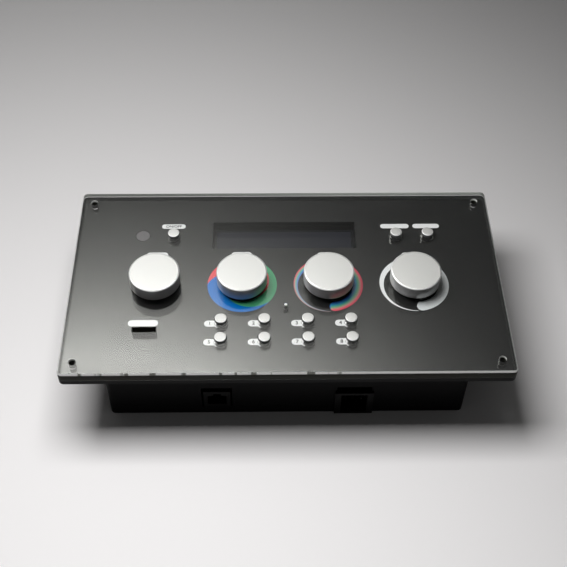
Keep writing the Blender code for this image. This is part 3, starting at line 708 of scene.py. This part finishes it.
def edge_finishes(piece, chamfer_finish):
    """The upright faces at the outer edge get the second finish, and the leaning ones that of the
    chamfer. All others keep the first."""
    up = numbers_of(piece.data.polygons, "normal")[:, 2]
    centre = numbers_of(piece.data.polygons, "center")
    reach = np.array([panel_width, panel_length]) / 2 - panel_corner
    at_edge = (np.abs(centre[:, :2]) > reach).any(axis=1)
    upright = np.abs(up) < upright_below
    leaning = (up > upright_below) & (up < lying_above)
    return np.where(at_edge & upright, 1, np.where(at_edge & leaning, chamfer_finish, 0))


def hole_finishes(piece, index):
    """The back half of a screw hole's wall is white at the top, a painted highlight, and dark below, a
    painted shade, and the back wall of the card's slot is dark, a painted shade. The other halves stay
    clear."""
    centre = numbers_of(piece.data.polygons, "center")
    for place in fixing_places:
        near = np.hypot(*(centre[:, :2] - place).T) < fixing_radius * hole_reach
        back = near & (centre[:, 1] > place[1])
        # white at the top is a painted highlight, dark below is painted shade
        index[back] = np.where(centre[back, 2] > cover_high.z - bright_depth, 3, 1)
    away = np.abs(centre[:, :2] - card_place) * 2 - card_slot
    # the slot's back wall gets the dark finish as painted shade
    index[(away < edge_break * 3).all(axis=1) & (centre[:, 1] > card_place[1])] = 1
    return index


def give_finishes(piece, index):
    """Writes the number of its finish to each face."""
    piece.data.polygons.foreach_set("material_index", index.astype(np.int32))


low, high = cover_low.z, cover_high.z
outer = panel_rim([fine_break, 0, 0, chamfer_run], [low, low + fine_break, high - chamfer, high])
cover = slab("cover_slab", [outer, *shared_rims(low, high, knob_hole)], polished_acrylic)
for finish in edge_and_painted_light_finishes:
    cover.data.materials.append(finish)
give_finishes(cover, hole_finishes(cover, edge_finishes(cover, chamfer_finish=2)))
carry(cover, "housing", "cover", "clear_cover")
print("cover faces:", len(cover.data.polygons))

# %% [markdown]
# The plate behind it
#
# A black plate three millimetres thick, with the same holes and the windows for the display and the
# infrared eye. Its paint is not quite even: a weak mottle in the black keeps it from looking like a
# hole in the picture. On its upright outer edge a darker, duller copy of the same paint is painted
# shade.

# %% The plate
plate_low, plate_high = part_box("front_plate")
glass_place = middle("display_glass")
window_size = (89.6 * millimetre, 22.0 * millimetre)
eye_place = middle("infrared_window")
eye_hole = 4.6 * millimetre
bush_hole = 3.8 * millimetre
paint_mottle = 20.0 * millimetre
paint_grain = 3.0 * millimetre
paint_depth = 0.004 * millimetre


def plate_paint(name, dark, light, shine):
    """Satin black whose tone wanders a little, with the grain of sprayed paint."""
    finish = Finish(name)
    mottle = finish.noise(paint_mottle, detail=4)
    grain = finish.noise(paint_grain)
    colour = finish.blend(mottle, tone(dark), tone(light))
    return finish.coat(colour, grain * 0.06 + 0.34, finish.bump(grain, paint_depth),
                       Specular_IOR_Level=shine)


low, high = plate_low.z, plate_high.z
outer = panel_rim([edge_break, 0, 0, fine_break], [low, low + edge_break, high - fine_break, high])
rims = [outer, *shared_rims(low, high, bush_hole)]
rims.append(round_rim(eye_hole, eye_place, low, high))
rims.append(slot_rim(window_size, glass_place, low, high))
plate = slab("plate_slab", rims, plate_paint("plate_paint", 31, 38, 0.25))
# the outer edge gets a darker, duller copy of the paint: painted shade
plate.data.materials.append(plate_paint("plate_edge_painted_shade", 15, 20, 0.04))
give_finishes(plate, edge_finishes(plate, chamfer_finish=1))
carry(plate, "housing", "plate", "front_plate")
print("plate faces:", len(plate.data.polygons))

# %% [markdown]
# White label fields
#
# The print lies between plate and cover: a rounded white field at each control. A field could be
# painted into the plate's finish, but its edge would then blur, so each is a thin closed sheet of
# ink. The two ink levels fit in the gap of three tenths of a millimetre. Ink is nearly even: noise
# that leads from one tone to another is enough, and so one function makes all such finishes.

# %% Label fields
print_low = 50.76 * millimetre
print_high = 50.88 * millimetre
figure_high = 50.95 * millimetre
round_end = 0.498


def mottled(name, size, low, high, roughness, spread=0, depth=0, detail=2, **fixed):
    """Noise whose blobs are `size` metres across leads from colour `low` to `high`. It adds up to
    `spread` to the roughness, and raises the surface by up to `depth` metres."""
    finish = Finish(name)
    cloud = finish.noise(size, detail)
    colour = finish.blend(cloud, low, high)
    roughness = cloud * spread + roughness if spread else roughness
    normal = finish.bump(cloud, depth) if depth else None
    return finish.coat(colour, roughness, normal, **fixed)


def ink_sheet(name, outlines, material):
    """A thin closed sheet of ink: the first outline is its edge, the others are left free."""
    rims = [lifted([outline, outline], [print_low, print_high]) for outline in outlines]
    return slab(name, rims, material)


def field(left, right, across, height):
    """Outline of a field with round ends, given in millimetres."""
    size = ((right - left) * millimetre, height * millimetre)
    place = ((left + right) / 2 * millimetre, across * millimetre)
    return rounded(size[0], size[1], size[1] * round_end, place, corner_steps=12)


white_ink = mottled("print_ink", 0.0012, tone(232), tone(240, 241, 240), roughness=0.5,
                    spread=0.1, depth=0.000004, detail=3, Specular_IOR_Level=0.2)
upper_fields = {
    "power_field": (-77.9, -63.0, 44.6, 3.7),
    "run_field": (60.4, 78.5, 44.0, 3.7),
    "lock_field": (80.9, 97.8, 44.0, 3.7),
    "card_field": (-93.4, -75.7, -32.2, 4.5),
    "knob_field_1": (-86.0, -72.7, 20.6, 4.4),
    "knob_field_2": (-33.6, -20.9, 20.6, 4.4),
    "knob_field_3": (19.5, 29.0, 20.0, 4.4),
    "knob_field_4": (71.7, 82.5, 19.5, 4.4),
}
for name, (left, right, across, height) in upper_fields.items():
    carry(ink_sheet(name, [field(left, right, across, height)], white_ink), "housing", "plate")
print("label fields at the top, the card slot and the knobs:", len(upper_fields))

# %% [markdown]
# Numbered fields
#
# Each of the eight lower buttons has a field at its left that runs up to the hole, with a thin tail
# round the hole's lower left, and a number in it. The upper left field says ON/OFF, because that
# button is the switch. Lettering is Blender's own plain one, given a little thickness, and made a
# mesh before it is moved to its field.

# %% Outline of a numbered field
cue_field_lefts = (-48.8, -23.1, 2.3, 28.1)
cue_field_rows = (-32.8, -46.3)
cue_field_height = 4.5
hole_edge = 3.9 * millimetre
tail_edge = 4.3 * millimetre
tail_angle = math.radians(236)


def arc(place, radius, start, end, steps=16):
    """place + radius * (cos t, sin t) from one angle to another."""
    t = np.linspace(start, end, steps)
    return np.stack([place[0] + radius * np.cos(t), place[1] + radius * np.sin(t)], axis=1)


def cue_outline(left, across, button):
    """Round left end, then a thin tail round the lower left of the hole, then the hole's edge."""
    half = cue_field_height / 2 * millimetre
    row = across * millimetre
    end = (left * millimetre + half, row)
    below = math.pi + math.asin((button[1] - row + half) / tail_edge)
    above = math.pi - math.asin((row + half - button[1]) / hole_edge)
    return np.concatenate([
        arc(end, half, math.pi / 2, 3 * math.pi / 2),
        arc(button, tail_edge, below, tail_angle, 8),
        arc(button, hole_edge, tail_angle, above),
    ])


print("tail round a hole in millimetres:", round((tail_edge - hole_edge) * 1000, 1))

# %% Numbered fields and the word
figure_in = 3.3
figure_height = 3.3 * millimetre
word_height = 2.7 * millimetre
switch_spot = (-70.45 * millimetre, 44.5 * millimetre)
figure_bold = 0.02
figure_seat = 0.75


def figure_mesh(text, place, height):
    """A number or a word as a thin solid. It is a little thicker than its own layer of ink, so
    that it sits in the field below."""
    curve = bpy.data.curves.new("figure", "FONT")
    curve.body = text
    curve.size = height
    curve.offset = height * figure_bold
    curve.align_x, curve.align_y = "CENTER", "CENTER"
    curve.extrude = (figure_high - print_high) * figure_seat
    drawn = put("figure", curve)
    bpy.context.view_layer.update()
    mesh = bpy.data.meshes.new_from_object(drawn)
    bpy.data.objects.remove(drawn)
    mesh.transform(Matrix.Translation((*place, (figure_high + print_high) / 2)))
    return mesh


figure_ink = mottled("figure_ink", 0.0006, tone(30), tone(52), roughness=0.6, depth=0.000003)
figures = bmesh.new()
for number, name in enumerate(cue_names):
    left, across = cue_field_lefts[number % 4], cue_field_rows[number // 4]
    button = button_places[name]
    outline = cue_outline(left, across, button)
    carry(ink_sheet(f"cue_field_{number + 1}", [outline], white_ink), "housing", "plate")
    spot = ((left + figure_in) * millimetre, across * millimetre)
    figures.from_mesh(figure_mesh(str(number + 1), spot, figure_height))
figures.from_mesh(figure_mesh("ON/OFF", switch_spot, word_height))
figure_sheet = bpy.data.meshes.new("cue_figures")
figures.to_mesh(figure_sheet)
figures.free()
figure_sheet.materials.append(figure_ink)
carry(put("cue_figures", figure_sheet), "housing", "plate")
print("numbered fields:", len(cue_names))

# %% [markdown]
# Swirls round two knobs
#
# Round the third and the fourth knob runs a printed swirl that starts as a hairline and grows to a
# round end, as a scale that says more or less. A swirl is a band on polar coordinates: along it runs
# the angle, across it the radius. The band carries both numbers at its points, so that its colours
# can follow them however it bends.

# %% Shape of a swirl
swirl_outer = 20.96 * millimetre
swirl_start, swirl_end = 272, -90
swirl_shares = [0, 0.08, 0.17, 0.25, 0.33, 0.5, 0.75, 1]
swirl_widths = [0.25, 0.8, 1.6, 2.5, 3.2, 4.6, 6.2, 6.9]
steps_along, steps_across = 160, 9


def swirl_width(share):
    """The width grows in straight stretches from the hairline at share 0 to the head at 1."""
    return np.interp(share, swirl_shares, swirl_widths) * millimetre


def swirl(name, place, material):
    """A band clockwise from the start to the end angle. Its outer radius stays, its inner radius is
    outer - width(s), where s runs from 0 to 1, and its head closes as a half circle."""
    s = np.linspace(0, 1, steps_along)
    width = swirl_width(s)
    angle = np.radians(swirl_start + (swirl_end - swirl_start) * s)
    head = 0.5 * width[-1]
    arc_left = np.radians(swirl_start - swirl_end) * (1 - s) * (swirl_outer - head)
    inside_head = np.clip(1 - arc_left / head, 0, 1)
    half = 0.5 * width * np.sqrt(1 - inside_head ** 2)
    across = np.linspace(-1, 1, steps_across)
    radius = (swirl_outer - 0.5 * width)[:, None] + half[:, None] * across
    x = place[0] + radius * np.cos(angle)[:, None]
    y = place[1] + radius * np.sin(angle)[:, None]
    sheet = np.stack([x, y, np.full_like(x, print_high)], axis=2)
    under = np.stack([x, y, np.full_like(x, print_low)], axis=2)
    count, wide = x.shape
    cell = np.arange(count - 1)[:, None] * wide + np.arange(wide - 1)
    top = np.stack([cell, cell + 1, cell + wide + 1, cell + wide], axis=2).reshape(-1, 4)
    edge = np.concatenate([
        np.arange(wide), np.arange(1, count) * wide + wide - 1,
        (count - 1) * wide + np.arange(wide - 2, -1, -1), np.arange(count - 2, 0, -1) * wide,
    ])
    after = np.roll(edge, -1)
    side = np.stack([after, edge, edge + count * wide, after + count * wide], axis=1)
    points = [sheet.reshape(-1, 3), under.reshape(-1, 3)]
    faces = [top, top[:, ::-1] + count * wide, side]
    return piece_of(name, points, faces, material, smooth=False)


print("width of a swirl half way along, in millimetres:", round(float(swirl_width(0.5)) * 1000, 1))


# %% What a swirl remembers
def remember(piece, label, values):
    """Writes one number at each point of the piece, for its finish to read."""
    layer = piece.data.attributes.new(label, "FLOAT", "POINT")
    layer.data.foreach_set("value", values.astype(np.float32))


def remember_polar(piece, place):
    """Writes how far along the swirl each point is, and how far out across its width."""
    x, y, _ = numbers_of(piece.data.vertices, "co").T
    angle = np.degrees(np.arctan2(y - place[1], x - place[0]))
    along = ((swirl_start - angle) % 360) / (swirl_start - swirl_end)
    inward = swirl_outer - np.hypot(x - place[0], y - place[1])
    remember(piece, "along", along)
    remember(piece, "out", 1 - inward / swirl_width(along))


print("numbers at each point of a swirl: along, out")


# %% Ink of the swirls
def plain_swirl_ink():
    """White ink, brightest at the hairline and greyer towards the head, a painted shade from the knob.
    """
    finish = Finish("plain_swirl_ink")
    density = finish.noise(0.0012, detail=3)
    # greyer along the swirl towards its head: painted shade from the knob
    colour = finish.blend(finish.own("along"), tone(248), tone(226, 230, 230))
    return finish.coat(colour, density * 0.1 + 0.5, Specular_IOR_Level=0.2)


def rainbow_swirl_ink():
    """Colours across the band, pink at its outer edge to blue inside, paler near the start."""
    finish = Finish("rainbow_swirl_ink")
    spectrum = finish.node("ValToRGB", {0: finish.own("out")}, stops=[
        (0.10, tone(50, 110, 200)), (0.32, tone(60, 160, 200)), (0.48, tone(90, 185, 160)),
        (0.62, tone(150, 180, 140)), (0.78, tone(215, 120, 125)), (0.92, tone(215, 60, 85)),
    ])
    pale = 1 - finish.step(finish.own("along"), 0.05, 0.45)
    colour = finish.blend(pale * 0.7, spectrum, tone(176, 168, 170))
    return finish.coat(colour, 0.55, Specular_IOR_Level=0.2)


for number, ink in ((3, rainbow_swirl_ink()), (4, plain_swirl_ink())):
    place = knob_places[number - 1]
    band = swirl(f"swirl_{number}", place, ink)
    remember_polar(band, place)
    carry(band, "housing", "plate")
print("faces of a swirl:", len(band.data.polygons))

# %% [markdown]
# The ring of three colours
#
# The ring round the second knob goes all the way round and is equally wide everywhere. Its three
# colours follow each other, and each border between two of them winds from the inner edge to the
# outer one. Three pieces would need borders that fit, so it is one ring whose ink finds its colour.

# %% Ring of three colours
ring_inner = 13.2 * millimetre
seam_angle = 222.0
border_blur = 2.0
ring_blue = tone(0, 110, 190)
ring_green = tone(76, 168, 120)
ring_red = tone(226, 80, 88)
borders = [(13, 99, ring_green), (88, 223, ring_red), (273, 316, ring_blue)]


def three_colour_ink(place):
    """Three colours that take turns, by the angle from the seam. Each border is a spiral: its angle
    is start + (end - start) * u, where u is 0 at the inner edge and 1 at the outer."""
    finish = Finish("three_colour_ink")
    x, y, _ = finish.place()
    x = x - place[0]
    y = y - place[1]
    angle = finish.math("ARCTAN2", y, x) * (180 / math.pi)
    turn = finish.math("FLOORED_MODULO", angle - seam_angle, 360.0)
    out = ((x * x + y * y) ** 0.5 - ring_inner) / (swirl_outer - ring_inner)
    colour = ring_blue
    for start, end, ink in borders:
        passed = turn - (out * (end - start) + start)
        colour = finish.blend(finish.step(passed, -border_blur, border_blur), colour, ink)
    return finish.coat(colour, 0.55, Specular_IOR_Level=0.2)


ring_place = knob_places[1]
ring_edges = [circle(radius, ring_place, 96) for radius in (swirl_outer, ring_inner)]
ring = ink_sheet("swirl_2", ring_edges, three_colour_ink(ring_place))
carry(ring, "housing", "plate")
print("borders of the ring:", len(borders))

# %% [markdown]
# Turned aluminium
#
# Knobs and buttons are turned from solid bar and anodised clear. The tool leaves circles on the face
# and lines round the side, far finer than a mesh could hold, so they are bumps: noise of the
# distance from the axis, which each piece carries at its points, and noise of the height. The cut
# rim is smoother than the rest and shines, and the bevel is white, a painted highlight.

# %% Finish of knobs and buttons
tool_mark = 0.22 * millimetre
tool_line = 0.80 * millimetre
tool_depth = 0.012 * millimetre
metal_cloud = 6.0 * millimetre
side_metal = 0.4
rim_below = 0.985
polished_metal_and_highlight = [0.97] * 3


def remember_axis(piece, place):
    """Writes the distance from the axis at each point of a turned piece."""
    x, y, _ = numbers_of(piece.data.vertices, "co").T
    remember(piece, "from_axis", np.hypot(x - place[0], y - place[1]))


def turned_aluminium(name, tint, face_roughness, side_roughness, side_tint):
    """Circles on the face are noise of the distance from the axis, lines on the side are noise of
    the height. Rim and bevel, which lean, have the side's gloss and a bright white: on the rim it is
    the metal's colour, on the bevel a non-metal white, a painted highlight."""
    finish = Finish(name)
    _, _, up = finish.facing()
    _, _, z = finish.place()
    face = abs(up) > lying_above
    rim = face * (up < rim_below)
    bevel = (up > upright_below) * (up < lying_above)
    circles = finish.lines(tool_mark, finish.own("from_axis"), axis=0)
    lines = finish.lines(tool_line, z, axis=0)
    marks = circles * face + lines * (1 - face)
    cloud = finish.noise(metal_cloud, detail=3)
    bright = finish.blend(cloud, [tint * c for c in (0.98, 0.985, 1)], [tint] * 3)
    lined = finish.blend(lines, [0.7 * side_tint] * 3, [1.3 * side_tint] * 3)
    # the bevel is a non-metal white: a painted highlight
    side = finish.blend(bevel, lined, polished_metal_and_highlight)
    colour = finish.blend(rim, finish.blend(face, side, bright), polished_metal_and_highlight)
    metal = face + (1 - face) * (1 - bevel) * side_metal
    roughness = (face - rim) * (face_roughness - side_roughness) + side_roughness + marks * 0.06
    return finish.coat(colour, roughness, finish.bump(marks, tool_depth), Metallic=metal)


knob_metal = turned_aluminium("knob_metal", 0.64, 0.48, 0.26, 0.65)
# the buttons' sides are darker than the knobs': painted shade under their heads
button_metal = turned_aluminium("button_metal", 0.545, 0.45, 0.30, 0.32)
print("tool marks are", round(tool_mark / millimetre, 2), "mm apart")

# %% [markdown]
# Knobs
#
# A knob is a plain cylinder with a narrow bevel at the top and a smaller one at its foot, bored from
# below for its shaft. Towards the bevel the face falls off a little, as a rim that was filed soft,
# and it catches light where the flat face doesn't. So the profile is turned with these corners, each
# softened. The hole for the set screw is cut across it from the back.

# %% Turned profiles
def eased(corners, reach, steps=6):
    """A profile with softened corners. Near each corner it follows the curve
    (1-t)^2 a + 2t(1-t) corner + t^2 b, where a and b lie `reach` before and after it."""
    corners = np.array(corners, float)
    reach = np.array(reach, float)[:, None]
    back = np.roll(corners, 1, axis=0) - corners
    ahead = np.roll(corners, -1, axis=0) - corners
    a = corners + reach * back / np.linalg.norm(back, axis=1, keepdims=True)
    b = corners + reach * ahead / np.linalg.norm(ahead, axis=1, keepdims=True)
    t = np.linspace(0, 1, steps)[None, :, None]
    curve = (1 - t) ** 2 * a[:, None] + 2 * t * (1 - t) * corners[:, None] + t ** 2 * b[:, None]
    return curve.reshape(-1, 2)


def turned(name, profile, place, material, steps):
    """A turned piece: each (radius, height) of the profile goes round the axis at `place`."""
    t = np.linspace(0, 2 * np.pi, steps, endpoint=False)
    radius, height = profile[:, :1], profile[:, 1:]
    x, y = place[0] + radius * np.cos(t), place[1] + radius * np.sin(t)
    rings = np.stack([x, y, np.broadcast_to(height, x.shape)], axis=2)
    return piece_of(name, [rings.reshape(-1, 3)], [between(rings)], material)


print("points of a softened square:", len(eased([(0, 0), (1, 0), (1, 1), (0, 1)], [0.1] * 4)))

# %% Profile of a knob
knob_low, knob_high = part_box("knob_1")
knob_height = knob_high.z - knob_low.z
knob_radius = 15.1 * millimetre
bore_radius = 3.3 * millimetre
bore_depth = 6.2 * millimetre
top_bevel = 0.6 * millimetre
rim_width = 0.7 * millimetre
rim_drop = 0.13 * millimetre
foot_bevel = 0.4 * millimetre
knob_corners = [
    (0, bore_depth), (bore_radius, bore_depth), (bore_radius, 0), (knob_radius - foot_bevel, 0),
    (knob_radius, foot_bevel), (knob_radius, knob_height - top_bevel),
    (knob_radius - rim_width / 2, knob_height - rim_drop), (knob_radius - rim_width, knob_height),
    (0, knob_height),
]
knob_softening = np.array([0, 0, 0.2, 0.15, 0.15, 0.2, 0.15, 0.15, 0]) * millimetre
knob_profile = eased(knob_corners, knob_softening) + np.array([0, knob_low.z])
print("knob in millimetres:", round(knob_radius * 2000, 1), "by", round(knob_height * 1000, 1))

# %% Hole for the set screw
cross_level = knob_low.z + 3.0 * millimetre
cross_radius = 1.8 * millimetre
cross_ends = np.array([bore_radius * 0.5, knob_radius * 1.05])
cross_steps = 32


def cross_cutter(place):
    """A round bar along y, from the bore out through the back of the knob: its points are
    place + (radius * cos t, end, radius * sin t)."""
    ring = circle(cross_radius, steps=cross_steps)
    shape = (2, cross_steps)
    x = np.broadcast_to(place[0] + ring[:, 0], shape)
    y = np.broadcast_to(place[1] + cross_ends[:, None], shape)
    z = np.broadcast_to(cross_level + ring[:, 1], shape)
    rings = np.stack([x, y, z], axis=2)
    caps = np.arange(2 * cross_steps).reshape(2, 1, cross_steps)
    points = [rings.reshape(-1, 3)]
    return piece_of("cross_cutter", points, [between(rings), *caps], knob_metal, smooth=False)


def cut_out(piece, cutter):
    """Takes the cutter's shape out of the piece and removes the cutter."""
    modifier = piece.modifiers.new("cut", "BOOLEAN")
    modifier.operation = "DIFFERENCE"
    modifier.object = cutter
    modifier.solver = "EXACT"
    bpy.context.view_layer.update()
    seen = piece.evaluated_get(bpy.context.evaluated_depsgraph_get())
    mesh = bpy.data.meshes.new_from_object(seen)
    piece.modifiers.clear()
    piece.data = mesh
    bpy.data.objects.remove(cutter)
    mesh.shade_smooth()
    mesh.set_sharp_from_angle(angle=crease)


print("the set screw's hole lies", round((cross_level - knob_low.z) * 1000), "mm above the foot")

# %% Knobs
for name, place in zip(knob_names, knob_places):
    knob = turned(name.replace("_", "_turned_"), knob_profile, place, knob_metal, steps=120)
    cut_out(knob, cross_cutter(place))
    remember_axis(knob, place)
    carry(knob, name, "knob", name)
print("faces of a knob:", len(knob.data.polygons))

# %% [markdown]
# Push buttons
#
# The same bar in small: a stem to the switch, a flange that keeps the button in, and a flat head
# with a broken edge. It is turned in the same way, from the levels of the packed solid.

# %% Push buttons
button_low, button_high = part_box("power_button")
button_top = button_high.z
flange_top = plate_low.z - 0.3 * millimetre
flange_low = flange_top - 1.0 * millimetre
stem_radius = 1.6 * millimetre
flange_radius = 4.7 * millimetre
button_radius = 3.5 * millimetre
button_bevel = 0.3 * millimetre
button_corners = [
    (0, button_low.z), (stem_radius, button_low.z), (stem_radius, flange_low),
    (flange_radius, flange_low), (flange_radius, flange_top), (button_radius, flange_top),
    (button_radius, button_top - button_bevel), (button_radius - button_bevel, button_top),
    (0, button_top),
]
button_softening = np.array([0, 0.1, 0, 0.1, 0.1, 0, 0.1, 0.1, 0]) * millimetre
button_profile = eased(button_corners, button_softening)
for name, place in button_places.items():
    button = turned(f"{name}_turned", button_profile, place, button_metal, steps=48)
    remember_axis(button, place)
    carry(button, name, "button", name)
print("faces of a button:", len(button.data.polygons))

# %% [markdown]
# Paint, plastic and glass
#
# The other solids keep their packed shape and get a better finish. The box is powder coated, shroud
# and lead are moulded, and the infrared window is smoked plastic. Pictures of such surfaces would
# need seams. Noise needs none, and its size is what tells paint from plastic.

# %% Paint, plastic and glass
picture_half = (42.5 * millimetre, 9.0 * millimetre)
picture_blur = 0.3 * millimetre


def powder_coat():
    """Black powder coat: soft pits of orange peel."""
    return mottled("powder_coat", 0.0007, tone(12), tone(17, 17, 18), roughness=0.3, spread=0.15,
                   depth=0.00004, Specular_IOR_Level=0.04)


def moulded_black(name, roughness=0.45):
    """Black moulding with a fine eroded skin."""
    return mottled(name, 0.0003, tone(20), tone(31), roughness, spread=0.15, depth=0.00002, detail=3)


def eye_filter():
    """Smoked plastic with a trace of violet, which lets infrared light through."""
    return mottled("eye_filter", 0.002, tone(84, 81, 84), tone(94, 91, 93), roughness=0.12,
                   spread=0.05)


def pale_moulding():
    """Milky plastic of the light pipe and the backlight."""
    return mottled("pale_moulding", 0.001, tone(226, 230, 226), tone(244, 246, 242), roughness=0.3,
                   spread=0.1, Subsurface_Weight=0.3, Subsurface_Scale=0.001)


def display_pane():
    """Dark blue-grey glass. The picture's area, found by the distance from the middle along x and
    along y, is a little paler than the border round it. The darker border is partly the glass's own
    and partly painted shade from the sides of the window."""
    finish = Finish("display_pane")
    share = 1
    for here, centre, half in zip(finish.place(), glass_place, picture_half):
        beyond = finish.step(abs(here - centre), half, half + picture_blur)
        share = (1 - beyond) * share
    cloud = finish.noise(0.012)
    lit = finish.blend(cloud, tone(33, 34, 41), tone(37, 38, 46))
    # the darker border is partly the glass's own and partly painted shade from the window's sides
    colour = finish.blend(share, tone(22, 23, 26), lit)
    return finish.coat(colour, cloud * 0.04 + 0.06, Specular_IOR_Level=0.3)


print("the picture's area in millimetres:", *(round(2 * half * 1000) for half in picture_half))

# %% [markdown]
# Metal, boards and wiring
#
# Screws, posts and shafts are rolled or plated metal with streaks that run one way, so their noise is
# stretched. A board is one solid with its chips. They could be split, but a level is enough to tell
# them apart: lacquer lies between the board's two faces, and black plastic above and below.

# %% Metal, boards and wiring
streak_size = 0.4 * millimetre
streak_stretch = 12
cloud_size = 4.0 * millimetre
cloud_tone = 0.86
track_spacing = 1.8 * millimetre
wire_spacing = 0.5 * millimetre
board_margin = 0.03 * millimetre


def sheet_metal(name, colour, roughness):
    """Rolled or plated metal: fine streaks, which are noise stretched along x, and slow clouds."""
    finish = Finish(name)
    x, y, z = finish.place()
    along = finish.node("CombineXYZ", {0: x / streak_stretch, 1: y, 2: z})
    streaks = finish.noise(streak_size, at=along)
    cloud = finish.noise(cloud_size, detail=3)
    shaded = finish.blend(cloud, [c * cloud_tone for c in colour], colour)
    return finish.coat(shaded, streaks * 0.12 + roughness, finish.bump(streaks, 0.00001),
                       Metallic=1.0)


def board_lacquer(name, low, high):
    """Green lacquer between two levels, black parts above and below it. Its paler tracks are a
    wave across x that noise pushes to and fro."""
    finish = Finish(name)
    x, _, z = finish.place()
    lanes = finish.math("PINGPONG", (x + finish.noise(0.02) * 0.01) / track_spacing, 1.0)
    tracks = finish.step(lanes, 0.55, 0.7)
    green = finish.blend(tracks, tone(16, 70, 44), tone(30, 104, 64))
    part = (z > high + board_margin) + (z < low - board_margin)
    grain = finish.noise(0.0005)
    black = finish.blend(grain, tone(24), tone(36))
    normal = finish.bump(tracks * (1 - part) + grain * part * 0.3, 0.00003)
    return finish.coat(finish.blend(part, green, black), part * 0.2 + 0.3, normal)


def ribbon_jacket():
    """Grey ribbon of sixteen wires: a rounded wave across it raises each wire, and the colour darkens
    into the grooves between them, a painted shade.
    """
    finish = Finish("ribbon_jacket")
    x, _, _ = finish.place()
    wires = finish.math("PINGPONG", x / wire_spacing, 1.0)
    # darker between the wires: painted shade in the grooves
    colour = finish.blend(wires, tone(120), tone(165))
    return finish.coat(colour, 0.5, finish.bump(wires, 0.0002))


print("metals and boards ready")

# %% [markdown]
# Sockets
#
# Each socket is one solid with its contacts, and its mesh isn't changed. So one finish holds both the
# black moulding and the bare metal, and a product of comparisons finds the metal by its place.

# %% Socket finishes
contact_low, contact_high, contact_front = 0.0094, 0.0106, -0.0539
blade_half = 0.55 * millimetre
blade_x = 5.0 * millimetre
blade_z = 4.0 * millimetre
blade_depths = (5.5 * millimetre, 13.05 * millimetre)


def socket_shell(name, contacts, metal, roughness, polish):
    """Black moulding. `contacts` works out from x, y and z where the bare metal is."""
    finish = Finish(name)
    skin = finish.noise(0.0003, detail=3)
    shell = finish.blend(skin, tone(7), tone(11))
    contact = contacts(*finish.place())
    colour = finish.blend(contact, shell, metal)
    return finish.coat(colour, roughness - contact * polish, finish.bump(skin, 0.00002),
                       Metallic=contact, Specular_IOR_Level=0.1)


def network_contacts(_, y, z):
    """The gold wires lie low in the mouth."""
    return (z < contact_high) * (z > contact_low) * (y > contact_front)


def terminal_blades(x, y, z):
    """Six tinned blades in two rows of three, 5 mm apart along x, 4 mm above and below the middle."""
    low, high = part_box("terminal_socket")
    across = abs(x - (low.x + high.x) / 2)
    near_x = ((across < blade_half) + (abs(across - blade_x) < blade_half)) > 0.5
    near_z = abs(abs(z - (low.z + high.z) / 2) - blade_z) < blade_half
    return near_x * near_z * (y > low.y + blade_depths[0]) * (y < low.y + blade_depths[1])


network_shell = socket_shell("network_shell", network_contacts, (0.83, 0.62, 0.28), 0.45, 0.1)
terminal_shell = socket_shell("terminal_shell", terminal_blades, (0.80, 0.80, 0.78), 0.42, 0.15)
print("socket finishes:", network_shell.name, terminal_shell.name)

# %% [markdown]
# Which solid gets which finish
#
# Single parts have their own entry. Screws, posts and the like come in groups whose names start
# alike, so one entry serves the group, and no solid is left with its plain colour.

# %% Putting them on
steel = sheet_metal("bright_steel", (0.62, 0.63, 0.64), 0.28)
brass = sheet_metal("plated_brass", (0.80, 0.68, 0.42), 0.25)
finishes = {
    "rear_box": powder_coat(),
    "main_board": board_lacquer("main_board_lacquer", low=0.0384, high=0.0400),
    "port_board": board_lacquer("port_board_lacquer", low=0.0051, high=0.0067),
    "display_shroud": moulded_black("shroud_moulding"),
    "display_glass": display_pane(),
    "display_backlight": pale_moulding(),
    "status_light_pipe": pale_moulding(),
    "infrared_window": eye_filter(),
    "infrared_receiver": moulded_black("receiver_moulding", 0.3),
    "network_socket": network_shell,
    "terminal_socket": terminal_shell,
    "board_ribbon": ribbon_jacket(),
    "power_lead": moulded_black("lead_jacket", 0.5),
    "card_socket": moulded_black("card_moulding"),
    "coin_cell": steel,
    "cell_clip": steel,
}
by_start = {
    "box_screw": steel, "panel_post": brass, "encoder_nut": steel, "encoder_shaft": steel,
    "encoder_": brass, "knob_screw": sheet_metal("black_steel", (0.16, 0.16, 0.17), 0.3),
    "port_screw": steel,
}
replaced = ["clear_cover", "front_plate", *button_names, *knob_names]
kept = {name: solid for name, solid in nodes.items() if name not in replaced}
for name, solid in kept.items():
    starts = [start for start in by_start if name.startswith(start)]
    finish = finishes[name] if name in finishes else by_start[starts[0]]
    for slot in solid.material_slots:
        slot.material = finish
print("packed solids with a new finish:", len(kept))

# %% [markdown] The end of the scene
